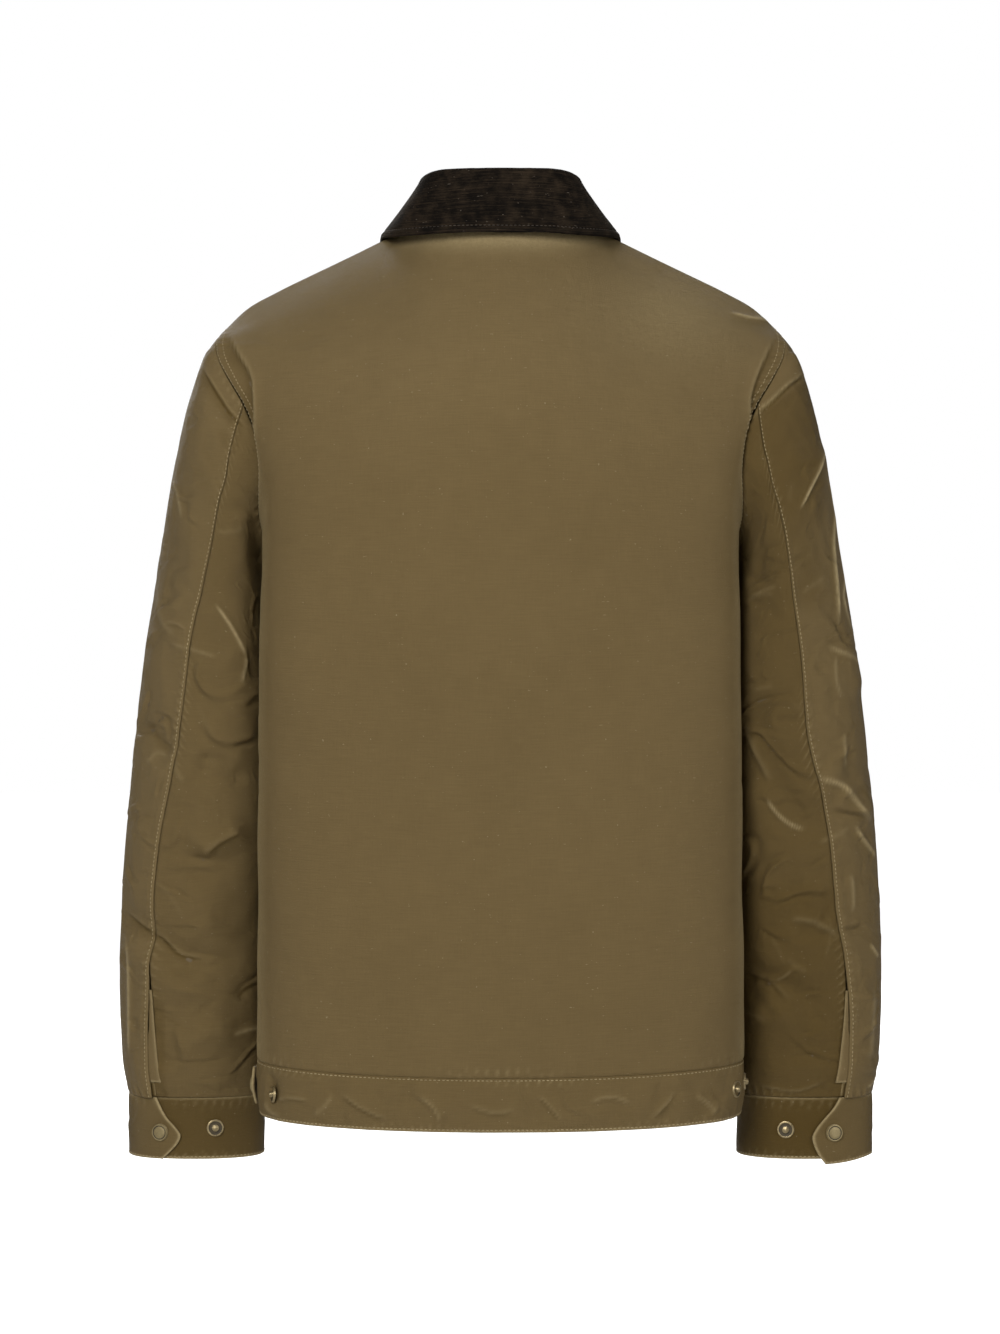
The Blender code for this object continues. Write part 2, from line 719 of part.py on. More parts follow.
def wall(panel):
    """Makes a panel's closed solid, whose quads are split alike on both faces."""
    inner, outer = panel.faces()
    rows, columns = outer.shape[:2]
    index = np.arange(rows * columns).reshape(rows, columns)
    shift = rows * columns
    faces = []
    for i in range(rows - 1):
        for j in range(columns - 1):
            a, b, c, d = (int(index[p]) for p in ((i, j), (i, j + 1), (i + 1, j + 1), (i + 1, j)))
            first = np.linalg.norm(outer[i, j] - outer[i + 1, j + 1])
            second = np.linalg.norm(outer[i, j + 1] - outer[i + 1, j])
            halves = ((a, b, c), (a, c, d)) if first <= second else ((a, b, d), (b, c, d))
            for half in halves:
                faces.append(half)
                faces.append(tuple(v + shift for v in reversed(half)))
    rim = panel.border()
    for place, following in zip(rim, rim[1:] + rim[:1]):
        a = int(index[place])
        b = int(index[following])
        if tuple(np.round(outer[place])) < tuple(np.round(outer[following])):
            faces += [(b, a, b + shift), (a, a + shift, b + shift)]
        else:
            faces += [(b, a, a + shift), (b, a + shift, b + shift)]
    points = np.concatenate((outer.reshape(-1, 3), inner.reshape(-1, 3)))
    return make_object(panel.name, points, faces, panel.finish)


def turned(name, profile, place, normal, finish, lift=GAP):
    """Makes a turned piece that stands at a place on a surface, along its normal."""
    points = [(0.0, 0.0, 0.0)]
    for ring in profile:
        for side in range(ROUND_SIDES):
            angle = 2 * math.pi * side / ROUND_SIDES
            points.append((ring.radius * math.cos(angle), ring.radius * math.sin(angle), ring.height))
    points.append((0.0, 0.0, profile[-1].height + SNAP_CROWN))
    faces = []
    for side in range(ROUND_SIDES):
        following = (side + 1) % ROUND_SIDES
        faces.append((0, 1 + following, 1 + side))
        for ring in range(len(profile) - 1):
            low = 1 + ring * ROUND_SIDES
            high = low + ROUND_SIDES
            faces.append((low + side, low + following, high + following, high + side))
        top = 1 + (len(profile) - 1) * ROUND_SIDES
        faces.append((top + side, top + following, len(points) - 1))
    solid = make_object(name, points, faces, finish)
    axis = unit(np.asarray(normal, dtype=float))
    across = unit(np.cross((0.0, 0.0, 1.0), axis))
    upward = np.cross(axis, across)
    spot = (np.asarray(place) + axis * lift) * MM
    rows = [[across[k], upward[k], axis[k], spot[k]] for k in range(3)]
    solid.matrix_world = Matrix(rows + [[0.0, 0.0, 0.0, 1.0]])
    return solid


# The pieces.

def body_panels():
    """The back, the two fronts and the three pieces of the hem band."""
    panels = []
    for name, quarter, thickness in (("", body_quarter, CLOTH), ("band_", band_quarter, DOUBLE_CLOTH)):
        left_front = quarter(FRONT)[:, ::-1]
        panels.append(Panel(name + "back", whole_back(quarter(BACK)), thickness, WAXED))
        panels.append(Panel(name + "front_left", left_front, thickness, WAXED))
        panels.append(Panel(name + "front_right", mirror(left_front), thickness, WAXED))
    for panel in panels[3:]:
        panel.level_row(0)
    return panels


def sleeve_panels(side, name):
    """The outer and the inner piece of a sleeve."""
    grid = sleeve_grid(side)
    normals = grid_normals(grid, closed=True)
    last = grid.shape[1]
    outer_columns = [k % last for k in range(FRONT_SEAM_COLUMN, last + REAR_SEAM_COLUMN + 1)]
    inner_columns = list(range(REAR_SEAM_COLUMN, FRONT_SEAM_COLUMN + 1))
    panels = []
    for kind, columns in (("outer", outer_columns), ("inner", inner_columns)):
        points = grid[:, columns]
        facing = normals[:, columns]
        if side == RIGHT:
            points = mirror(points)
            facing = mirror(facing)
        panel = Panel(f"sleeve_{name}_{kind}", points, CLOTH, WAXED, facing.copy())
        panel.level_row(0)
        panels.append(panel)
    return panels


def lap_vent(outer_sleeve, side):
    """Lifts the outer sleeve's rear edge above the cuff, so that it laps over the vent."""
    t = np.linspace(1.0, 0.0, len(outer_sleeve.grid))
    opening = ease((t - VENT_TOP_T) / VENT_OPEN_T)
    from_edge = np.arange(outer_sleeve.grid.shape[1])
    from_edge = from_edge[::-1] if side == LEFT else from_edge
    lift = VENT_LIFT * opening[:, None] * ease(1 - from_edge / VENT_LIFT_COLUMNS)
    outer_sleeve.grid += outer_sleeve.normals * lift[..., None]


def vent_panel(side, name):
    """The narrow underlap of a vent, a wedge that lies on the inner sleeve beside the rear seam."""
    rows = slice(0, VENT_ROWS)
    grid = sleeve_grid(side)
    normals = grid_normals(grid, closed=True)[rows]
    grid = grid[rows]
    ends = np.linspace(VENT_FOOT_END, VENT_TOP_END, VENT_ROWS)[:, None]
    shares = VENT_START + (ends - VENT_START) * np.linspace(0, 1, VENT_COLUMNS + 1)
    shares = shares[..., None]
    seam = REAR_SEAM_COLUMN
    grid = grid[:, seam:seam + 1] * (1 - shares) + grid[:, seam + 1:seam + 2] * shares
    normals = unit(normals[:, seam:seam + 1] * (1 - shares) + normals[:, seam + 1:seam + 2] * shares)
    grid = grid + normals * (CLOTH + LAY)
    grid[0] = grid[0] + (grid[1] - grid[0]) * VENT_FOOT
    if side == RIGHT:
        grid = mirror(grid)
        normals = mirror(normals)
    return Panel(f"vent_{name}", grid, CLOTH, WAXED, normals)


def cuff_point(cuff, turn, height):
    """A point of a cuff's outer face in left-hand place; one turn on, the strip lies on itself."""
    angle = np.radians(turn)
    half_width = (CUFF_OUTER_X - CUFF_INNER_X) / 2
    cos = signed_power(np.cos(angle), 2 / SLEEVE_SQUARENESS)
    sin = signed_power(np.sin(angle), 2 / SLEEVE_SQUARENESS)
    rise = ease((turn - CUFF_RISE_FROM) / (CUFF_RISE_TO - CUFF_RISE_FROM))
    lift = (DOUBLE_CLOTH + 2 * LAY) * rise
    x = CUFF_INNER_X + half_width + (half_width + lift) * cos
    y = CUFF_Y + (CUFF_HALF_DEPTH + lift) * sin
    z = CUFF_Z + (CUFF_SEAM_Z - GAP / 2 - CUFF_Z) * (1 + height) / 2
    hanging = ease((turn - CUFF_DROOP_FROM) / (CUFF_DROOP_TO - CUFF_DROOP_FROM))
    return np.stack([x, y, z - cuff.droop * hanging * ((1 - height) / 2) ** 2], axis=-1)


def cuff_panel(cuff):
    """A cuff, a strip with a pointed end that laps over its start."""
    along = np.linspace(0, 1, CUFF_COLUMNS + 1)
    bend = ease((along - CUFF_END_FROM) / (1 - CUFF_END_FROM))
    rows = []
    for height in CUFF_HEIGHTS:
        end = column(CUFF_ENDS, "height", cuff.name, height)
        turn = CUFF_START + (CUFF_END - CUFF_START) * along + (end - CUFF_END) * bend
        rows.append(cuff_point(cuff, turn, height))
    grid = np.stack(rows)
    return Panel(f"cuff_{cuff.name}", grid if cuff.side == LEFT else mirror(grid), DOUBLE_CLOTH, WAXED)


def collar_half():
    """Left half of the collar: columns from the front end to centre back, rows from the neck seam."""
    stations = []
    neck_columns = QUARTER_COLUMNS - SHOULDER_COLUMNS
    for k in range(2 * neck_columns, -1, -1):
        q = k / (2 * neck_columns)
        front = k > neck_columns
        seam = neckline(FRONT, 2 * q - 1) if front else neckline(BACK, 1 - 2 * q)
        if k == 2 * neck_columns:
            beside = neckline(FRONT, 1 - 1 / neck_columns)
            seam = seam + (beside - seam) * (COLLAR_END_X / beside[0]) + (0, 0, LAY)
        station = row_at(COLLAR_STATIONS, "q", q)
        roll = np.array([station.roll_x, station.roll_y, station.roll_z])
        edge = np.array([station.edge_x, station.edge_y, station.edge_z])
        out = unit((edge - seam) * (1, 1, 0)) if k > 0 else np.array((0.0, 1.0, 0.0))
        up = np.array((0.0, 0.0, 1.0))
        angles = np.linspace(math.pi, 0, ROLL_ROWS + 1)
        arc = [roll + COLLAR_ROLL_RADIUS * (out * math.cos(a) + up * math.sin(a)) for a in angles]
        stand = [seam + (arc[0] - seam) * share for share in np.arange(STAND_ROWS) / STAND_ROWS]
        fall = [arc[-1] + (edge - arc[-1]) * share for share in np.arange(1, FALL_ROWS + 1) / FALL_ROWS]
        stations.append(np.array(stand + arc + fall))
    return np.stack(stations, axis=1)


def collar_panel():
    """The whole collar. Its grid is the hidden face, so the wall is built away from it."""
    half = collar_half()
    return Panel("collar", np.concatenate((half, mirror(half)[:, 1:]), axis=1), CORDUROY, CORD)


def laid_strip(rows, half_width, columns):
    """Points of a front's rows out to a half width on each side of the centre line."""
    places = np.linspace(-half_width, half_width, columns + 1)
    grid = []
    for row in rows:
        outward = row[np.argsort(row[:, 0])]
        y, z = (np.interp(np.abs(places), outward[:, 0], outward[:, axis]) for axis in (1, 2))
        grid.append(np.stack([places, y, z], axis=1))
    return np.stack(grid)


def placket_panel():
    """The placket, laid on both fronts and the band."""
    rows = list(band_quarter(FRONT)[:-1]) + list(body_quarter(FRONT))
    rows[-1] = rows[-1] + (rows[-2] - rows[-1]) * PLACKET_TOP_DROP
    grid = laid_strip(rows, PLACKET_HALF_WIDTH, PLACKET_COLUMNS)
    grid = grid + grid_normals(grid) * (LAY + DOUBLE_CLOTH)
    return Panel("placket", grid, DOUBLE_CLOTH, WAXED)


def band_side_point(y, z, side):
    """Point and outward normal of the hem band where it has a given y on one side."""
    half_ring = np.concatenate((section_curve(z, FRONT)[::-1], section_curve(z, BACK)[1:]))
    place = int(np.argmin(np.abs(half_ring[:, 1] - y)))
    along = half_ring[place + 1] - half_ring[place - 1]
    flip = np.array([side, 1, 1])
    return half_ring[place] * flip, unit(np.cross(along, (0.0, 0.0, 1.0))) * flip


def tab_panel(tab):
    """A hem tab along the side of the band, its pointed end standing off a little."""
    rows = []
    for height in np.linspace(-1, 1, TAB_ROWS + 1):
        z = TAB_Z + height * TAB_HEIGHT / 2
        points = []
        for part in np.linspace(0, 1, TAB_COLUMNS + 1):
            narrowing = ease((part - TAB_POINT_FROM) / (1 - TAB_POINT_FROM))
            y = tab.sewn_y + (tab.free_y - TAB_POINT - tab.sewn_y) * part
            y += TAB_POINT * (1 - abs(height)) * narrowing
            place, normal = band_side_point(y, z, tab.side)
            standoff = TAB_STANDOFF * ease((part - TAB_LIFT_FROM) / (1 - TAB_LIFT_FROM))
            points.append(place + normal * (2 * LAY + DOUBLE_CLOTH + standoff))
        rows.append(np.array(points))
    grid = np.stack(rows)
    if tab.side == RIGHT:
        grid = grid[:, ::-1]
    return Panel(f"hem_tab_{tab.name}", grid, DOUBLE_CLOTH, WAXED)


def add_cuff_snaps(cuff):
    """The cap on a cuff's overlap and the spare stud beside it."""
    flip = np.array([cuff.side, 1, 1])
    steps = np.array([-SNAP_STEP, 0, SNAP_STEP])
    for kind, turn, height, profile, finish in (
        ("cap", cuff.cap_turn, cuff.cap_height, CAP_PROFILE, BRASS),
        ("stud", cuff.stud_turn, cuff.stud_height, STUD_PROFILE, BRONZE),
    ):
        before, place, after = cuff_point(cuff, turn + steps, height)
        normal = unit(np.cross(after - before, (0.0, 0.0, 1.0)))
        turned(f"cuff_{kind}_{cuff.name}", profile, place * flip, normal * flip, finish)


def add_hem_snaps():
    """The caps on the hem tabs and the spare studs behind them."""
    for tab in TABS:
        panel = tab_panel(tab)
        middle = TAB_ROWS // 2
        nearest = int(np.argmin(np.abs(panel.grid[middle, :, 1] - tab.cap_y)))
        place = panel.grid[middle, nearest]
        normal = panel.normals[middle, nearest]
        turned(f"hem_cap_{tab.name}", CAP_PROFILE, place, normal, BRASS)
    for stud in HEM_STUDS:
        place, normal = band_side_point(stud.y, stud.z, stud.side)
        turned(stud.name, STUD_PROFILE, place, normal, BRONZE, LAY)


def add_placket_caps(placket):
    """A row of caps down the placket."""
    centre = placket.grid[:, PLACKET_COLUMNS // 2]
    for number, z in enumerate(PLACKET_CAP_HEIGHTS, start=1):
        heights = z + np.array([-PLACKET_CAP_STEP, 0, PLACKET_CAP_STEP])
        lower, y, upper = np.interp(heights, centre[:, 2], centre[:, 1])
        normal = np.array([0.0, -2 * PLACKET_CAP_STEP, upper - lower])
        turned(f"placket_cap_{number}", CAP_PROFILE, (0.0, y, z), normal, BRASS, LAY + GAP)


def clear_scene():
    """Removes every object of the scene."""
    for item in list(bpy.data.objects):
        bpy.data.objects.remove(item, do_unlink=True)


def main():
    """Builds the jacket."""
    clear_scene()
    jacket = bpy.data.objects.new("jacket", None)
    bpy.context.collection.objects.link(jacket)
    panels = body_panels()
    collar = collar_panel()
    panels.append(collar)
    for side, name in ((LEFT, "left"), (RIGHT, "right")):
        sleeves = sleeve_panels(side, name)
        lap_vent(sleeves[0], side)
        panels += sleeves
    weld_normals(panels)
    for cuff in CUFFS:
        panels.append(vent_panel(cuff.side, cuff.name))
        panels.append(cuff_panel(cuff))
        add_cuff_snaps(cuff)
    panels += [tab_panel(tab) for tab in TABS]
    placket = placket_panel()
    panels.append(placket)
    for panel in panels:
        wall(panel)
    add_hem_snaps()
    add_placket_caps(placket)


main()
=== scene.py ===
"""The looks of a waxed cotton jacket: its cloth, corduroy, stitching and snaps.

The jacket faces -Y, its own left is +X and Z is up. Sizes are in millimetres and become metres where
a mesh is made. A cloth piece is a grid of points on its outer face, with rows from the bottom up and
columns counterclockwise as seen from above.
"""
import logging
import math
from dataclasses import dataclass, field
from enum import Enum
from typing import Callable, ClassVar, Iterable, Optional, Sequence

import bpy
import numpy as np
from mathutils import Matrix, Vector

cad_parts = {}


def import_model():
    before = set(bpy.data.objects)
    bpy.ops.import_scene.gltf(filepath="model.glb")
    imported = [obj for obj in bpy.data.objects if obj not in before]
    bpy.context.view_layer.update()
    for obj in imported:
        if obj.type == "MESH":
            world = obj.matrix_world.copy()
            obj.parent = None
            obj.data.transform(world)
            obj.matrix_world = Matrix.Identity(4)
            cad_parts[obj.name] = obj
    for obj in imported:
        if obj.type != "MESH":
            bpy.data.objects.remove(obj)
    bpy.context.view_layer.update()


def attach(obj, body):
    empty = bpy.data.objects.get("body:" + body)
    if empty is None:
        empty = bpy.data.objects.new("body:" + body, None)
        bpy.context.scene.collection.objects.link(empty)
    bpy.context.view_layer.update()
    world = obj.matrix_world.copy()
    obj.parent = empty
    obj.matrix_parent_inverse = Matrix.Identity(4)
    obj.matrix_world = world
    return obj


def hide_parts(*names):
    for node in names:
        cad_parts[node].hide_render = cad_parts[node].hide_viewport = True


Array = np.ndarray
Spot = tuple[Array, Array]   # a place and the way that it faces
Table = tuple[tuple[float, ...], ...]
Colour = tuple[float, float, float, float]

MM = 0.001
NARROWEST = 0.0102           # metres of cloth that the narrowest cut piece is wide
STITCH_PITCH = 3.3           # millimetres from one stitch to the next
UP = (0.0, 0.0, 1.0)
WHITE = (1.0, 1.0, 1.0, 1)
LOG = logging.getLogger("jacket")


class Side(Enum):
    """A side of the jacket, as the sign of x."""
    LEFT = 1
    RIGHT = -1

    @property
    def word(self) -> str:
        """Its name, as in the names of pieces."""
        return self.name.lower()

    @property
    def flip(self) -> Array:
        """What moves a point in left-hand place to this side."""
        return np.array([self.value, 1, 1])

    def place(self, grid: Array) -> Array:
        """Moves a grid in left-hand place to this side."""
        return mirror(grid) if self is Side.RIGHT else grid

    def borders(self) -> tuple["Border", "Border"]:
        """The upright borders that are first and last in left-hand place."""
        return (Border.FIRST, Border.LAST)[::self.value]


class Face(Enum):
    """The back or the front, as the sign of y."""
    BACK = 1
    FRONT = -1


class Border(Enum):
    """A border of a cloth piece's grid."""
    BOTTOM = "bottom"
    TOP = "top"
    FIRST = "first column"
    LAST = "last column"


class Held(Enum):
    """How a sheet of cloth is held."""
    HUNG = "hung"
    FOLDED = "folded"
    LAID = "laid"


# Curves and grids.

def read(table: Table, place: int, at: float | Array) -> Array:
    """Reads a column of a table at values of its first column, on a smooth curve.

    Args:
        table: rows whose first number is the key.
        place: which column to read.
        at: key values.

    Returns:
        The column's values there.
    """
    rows = np.array(sorted(table), dtype=float)
    xs, ys = rows[:, 0], rows[:, place]
    steps = np.diff(xs)
    slopes = np.diff(ys) / steps
    tangents = np.concatenate((slopes[:1], np.zeros(len(xs) - 2), slopes[-1:]))
    for i in range(1, len(xs) - 1):
        if slopes[i - 1] * slopes[i] > 0:
            tangents[i] = 2 * slopes[i - 1] * slopes[i] / (slopes[i - 1] + slopes[i])
    at = np.clip(np.asarray(at, dtype=float), xs[0], xs[-1])
    i = np.clip(np.searchsorted(xs, at, side="right") - 1, 0, len(steps) - 1)
    u = (at - xs[i]) / steps[i]
    value = (1 + 2 * u) * (1 - u) ** 2 * ys[i] + u ** 2 * (3 - 2 * u) * ys[i + 1]
    return value + steps[i] * u * (1 - u) * ((1 - u) * tangents[i] - u * tangents[i + 1])


def ease(value: float | Array) -> Array:
    """Rises smoothly from 0 to 1 as the value does."""
    value = np.clip(value, 0.0, 1.0)
    return value * value * (3 - 2 * value)


def bell(distance: Array, width: float) -> Array:
    """Falls smoothly from 1 at no distance towards 0 beyond a width."""
    return np.exp(-(distance / width) ** 2)


def unit(vectors: Array) -> Array:
    """Scales vectors to length one."""
    return vectors / np.maximum(np.linalg.norm(vectors, axis=-1, keepdims=True), 1e-9)


def signed_power(value: Array, power: float) -> Array:
    """Raises a value's size to a power and keeps its sign."""
    return np.sign(value) * np.abs(value) ** power


def lengths_along(points: Array) -> Array:
    """Distance from the first point to each point of lines, along the first axis."""
    steps = np.linalg.norm(np.diff(points, axis=0), axis=-1)
    return np.concatenate((np.zeros_like(steps[:1]), np.cumsum(steps, axis=0)))


def points_at(wanted: Array, along: Array, line: Array) -> Array:
    """Points of a line at wanted distances, given how far along it each of its points is."""
    return np.stack([np.interp(wanted, along, line[:, axis]) for axis in range(3)], axis=1)


def spread(points: Array, count: int) -> Array:
    """Places count + 1 points at equal distances along a line of points."""
    along = lengths_along(points)
    return points_at(np.linspace(0.0, along[-1], count + 1), along, points)


def mirror(grid: Array) -> Array:
    """Mirrors a grid from the left side to the right and keeps it facing outward."""
    return grid[:, ::-1] * np.array([-1.0, 1.0, 1.0])


def whole(half: Array) -> Array:
    """Joins a left grid to its mirror image."""
    return np.concatenate((half, mirror(half)[:, 1:]), axis=1)


def grid_normals(grid: Array) -> Array:
    """Outward normals of a grid."""
    return unit(np.cross(np.gradient(grid, axis=1), np.gradient(grid, axis=0)))


def smooth_lines(points: Array, at: Array, corner: Optional[int] = None,
                 sharp: float | Array = 0.0) -> Array:
    """Interpolates lines of points along the first axis on smooth curves.

    Args:
        points: the points, with any further axes.
        at: places between the points, counted from the first one.
        corner: a point where the lines may turn sharply.
        sharp: how sharply each line turns there, from 0 to 1.

    Returns:
        The points at those places.
    """
    arriving = np.gradient(points, axis=0)
    arriving[0] = (-3 * points[0] + 4 * points[1] - points[2]) / 2
    arriving[-1] = (3 * points[-1] - 4 * points[-2] + points[-3]) / 2
    leaving = arriving.copy()
    if corner is not None and 1 < corner < len(points) - 2:
        share = np.asarray(sharp)[..., None]
        before = (3 * points[corner] - 4 * points[corner - 1] + points[corner - 2]) / 2
        after = (-3 * points[corner] + 4 * points[corner + 1] - points[corner + 2]) / 2
        arriving[corner] = arriving[corner] * (1 - share) + before * share
        leaving[corner] = leaving[corner] * (1 - share) + after * share
    i = np.clip(at.astype(int), 0, len(points) - 2)
    u = (at - i).reshape((-1,) + (1,) * (points.ndim - 1))
    value = (1 + 2 * u) * (1 - u) ** 2 * points[i] + u ** 2 * (3 - 2 * u) * points[i + 1]
    return value + u * (1 - u) * ((1 - u) * leaving[i] - u * arriving[i + 1])


def smooth_across(grid: Array, at: Array, corner: Optional[int] = None, sharp: float | Array = 0.0) -> Array:
    """Interpolates a grid as smooth_lines does, but along its second axis."""
    return np.swapaxes(smooth_lines(np.swapaxes(grid, 0, 1), at, corner, sharp), 0, 1)


def fine_places(line: Array, pitch: float, ends: Sequence[float] = (0.7, 1.5, 2.6)) -> Array:
    """Divides a line of points finely, with more divisions close to its two ends.

    Args:
        line: the points.
        pitch: millimetres between divisions.
        ends: distances from each end of the divisions there.

    Returns:
        Places between the points, counted from the first one.
    """
    along = lengths_along(line)
    total = along[-1]
    inside = np.linspace(ends[-1], total - ends[-1], max(2, round((total - 2 * ends[-1]) / pitch) + 1))
    wanted = np.concatenate(([0.0], ends[:-1], inside, total - np.array(ends[-2::-1]), [total]))
    return np.interp(wanted, along, np.arange(len(line), dtype=float))


# How cloth lies: folds, creases and seams.

@dataclass(frozen=True)
class Crease:
    """A crease in the cloth, as seen from behind or in front.

    Its path is points of x and z. A sleeve's are in left-hand place. A rise makes a ridge along it and
    a drop a trough beside it, to the right of the path as seen from behind if it is positive.
    """
    side: Optional[Side]
    face: Face
    path: tuple[tuple[float, float], ...]
    width: float
    rise: float
    drop: float = 0.0
    # How pale its ridge is painted, part wear of the wax and part painted highlight.
    rub: float = 0.0
    fade: ClassVar[float] = 0.22      # share of the path that each end takes to fade away

    def lines(self) -> tuple[Array, Array]:
        """Dense points of the path and how far along it each is, from 0 to 1."""
        points = np.array(self.path, dtype=float)
        if len(points) == 2:
            points = np.stack([points[0], points.mean(axis=0), points[1]])
        dense = smooth_lines(points, np.linspace(0, len(points) - 1, 6 * len(points)))
        along = lengths_along(dense)
        return dense, along / along[-1]

    def measure(self, spots: Array) -> tuple[Array, Array]:
        """Finds the nearest place of the path to each spot.

        Args:
            spots: x and z of each spot.

        Returns:
            How far across the path the spot lies, and how far along it, from 0 to 1.
        """
        path, share = self.lines()
        run = path[1:] - path[:-1]
        offset = spots[:, None] - path[:-1]
        part = np.clip((offset * run).sum(axis=-1) / (run ** 2).sum(axis=-1), 0, 1)
        away = offset - part[..., None] * run
        distance = np.linalg.norm(away, axis=-1)
        best = np.argmin(distance, axis=1)
        pick = np.arange(len(spots)), best
        turn = run[best, 0] * away[pick][:, 1] - run[best, 1] * away[pick][:, 0]
        across = distance[pick] * np.sign(turn) * (-1 if self.side is Side.RIGHT else 1)
        return across, share[best] + part[pick] * (share[best + 1] - share[best])

    def press(self, points: Array, normals: Array) -> tuple[Array, Array, Array]:
        """Finds what the crease does to a grid of points.

        Args:
            points: the grid, a sleeve's in left-hand place.
            normals: its outward normals.

        Returns:
            The height it adds, how much pale wear and painted highlight it lays along its ridge, and how much
            painted shade it lays in its trough and past its fold.
        """
        height, rubbed, shaded = np.zeros((3, *points.shape[:-1]))
        path = self.lines()[0]
        reach = 5 * self.width
        flat = points[..., (0, 2)]
        low, high = path.min(axis=0) - reach, path.max(axis=0) + reach
        near = np.all((flat > low) & (flat < high), axis=-1) & (self.face.value * normals[..., 1] > -0.2)
        if not near.any():
            return height, rubbed, shaded
        across, along = self.measure(flat[near])
        ends = ease(along / self.fade) * ease((1 - along) / self.fade)
        facing = self.face.value * normals[near][:, 1]
        level = ends * ease(0.05 + 1.5 * facing)
        ends = ends * ease(0.55 + 1.5 * facing)
        ridge = bell(across, self.width)
        past = across * (1 if self.drop >= 0 else -1)
        depth = abs(self.drop)
        fall = np.exp(-np.clip(past, 0, None) / (1.7 * self.width))
        trough = 1.3 * ease(past / max(2.6, 0.8 * self.width)) * fall * (depth != 0)
        height[near] = level * (self.rise * ridge - depth * trough)
        # A pale line on the ridge, part wear and part painted highlight; painted shade in the trough and a thin
        # painted shadow line just past the fold.
        rubbed[near] = 0.8 * ends * self.rub * bell(across, max(1.1, 0.38 * self.width))
        sunk = trough * min(1.0, depth / 3) + ridge * max(0.0, -self.rise) / 4
        line = bell(past - 1.3, 1.2) * min(1.0, depth / 2.4)
        shaded[near] = ends * np.clip(0.70 * sunk + 0.75 * line, 0, 1)
        return height, rubbed, shaded


@dataclass(frozen=True)
class Finishing:
    """How a border is sewn: its stitch rows and where along it they run, from 0 to 1.

    A sewn border sinks into a seam, and a free one is turned over a rounded edge. The allowance is
    how far the layers folded under it reach, and the pucker is how much they draw the cloth.
    """
    border: Border
    rows: tuple[float, ...] = ()
    start: float = 0.0
    stop: float = 1.0
    sewn: bool = True
    groove: float = 0.6
    allowance: float = 0.0
    pucker: float = 0.0
    worn: float = 0.0


def slow_waves(points: Array, seed: int, size: float, count: int = 9) -> Array:
    """Soft uneven waves through space, about -1 to 1, the same on every run.

    Args:
        points: where to read them.
        seed: which waves.
        size: millimetres from crest to crest.
        count: how many are laid over each other.

    Returns:
        Their height at each point.
    """
    chance = np.random.default_rng(seed)
    total = np.zeros(points.shape[:-1])
    for _ in range(count):
        way = unit(chance.normal(size=3))
        pace = 2 * math.pi / (size * chance.uniform(0.6, 1.7))
        total += np.sin(points @ way * pace + chance.uniform(0, 2 * math.pi))
    return total / math.sqrt(count)


@dataclass(frozen=True)
class Wrinkles:
    """Uneven soft wrinkles all over a piece, the same on every run."""
    seed: int
    size: float
    rise: float
    sharpness: float = 0.30
    cover: float = 0.1

    def height(self, points: Array, stretch: tuple[float, float, float] = (1.0, 1.0, 1.0)) -> Array:
        """How far they push each point outward.

        Args:
            points: where to read them.
            stretch: how much closer together they lie along x, y and z.

        Returns:
            The height at each point.
        """
        spots = points * np.array(stretch)
        bend = np.stack([slow_waves(spots, self.seed + 60 + k, self.size * 1.4, 6) for k in range(3)], axis=-1)
        wave = slow_waves(spots + bend * self.size * 0.10, self.seed, self.size)
        broken = ease(slow_waves(spots, self.seed + 7, self.size * 1.1) * 0.8 + self.cover)
        fold = (wave / self.sharpness) * np.exp(-(wave / self.sharpness) ** 2) * 2.3
        return self.rise * broken * fold


@dataclass
class Stitcher:
    """Lays stitches as short strands of thread along lines on the cloth."""
    pitch: float = STITCH_PITCH
    length: float = 2.4
    radius: float = 0.36
    spots: list[Array] = field(default_factory=list)
    # How far along the stitch, how thick and how high each ring of points is.
    stations: ClassVar[Table] = (
        (-0.5, 0.0, -0.35), (-0.3, 0.85, 0.1), (0.0, 1.0, 0.3), (0.3, 0.85, 0.1), (0.5, 0.0, -0.35),
    )

    def sew(self, line: Array, normals: Array) -> None:
        """Adds stitches along a line of points on the cloth, given the cloth's normals there."""
        along = lengths_along(line)
        count = int(along[-1] // self.pitch)
        if count < 1:
            return
        middles = (np.arange(count) + 0.5) * along[-1] / count
        before, middle, after = (points_at(middles + shift, along, line)
                                 for shift in (-self.length / 2, 0.0, self.length / 2))
        facing = unit(points_at(middles, along, normals))
        way = unit(after - before)
        side = unit(np.cross(facing, way))
        points = []
        for place, girth, lift in self.stations:
            centre = middle + way * (place * self.length) + facing * (lift * self.radius)
            if girth == 0.0:
                points.append(centre[:, None])
                continue
            ring = [centre + self.radius * girth * (side * math.cos(turn) + facing * math.sin(turn))
                    for turn in (0, math.pi / 2, math.pi, 3 * math.pi / 2)]
            points.append(np.stack(ring, axis=1))
        self.spots.append(np.concatenate(points, axis=1))

    def build(self, name: str, material: bpy.types.Material, slot: str = "waxed_cotton") -> None:
        """Makes one piece of all the stitches laid so far.

        Args:
            name: the piece's name.
            material: the thread.
            slot: the material slot of the cloth that it sews; not used.
        """
        strands = np.concatenate(self.spots)
        each = strands.shape[1]
        faces = [(0, 1 + (k + 1) % 4, 1 + k) for k in range(4)]
        for ring in (1, 5):
            for k in range(4):
                one, two = ring + k, ring + (k + 1) % 4
                faces.append((one, two, two + 4, one + 4))
        faces += [(9 + k, 9 + (k + 1) % 4, 13) for k in range(4)]
        total = [tuple(v + each * n for v in face) for n in range(len(strands)) for face in faces]
        thread = link(name, make_mesh(name, strands.reshape(-1, 3), total, material))
        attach(thread, "root")
        LOG.info("%s: %d stitches", name, len(strands))


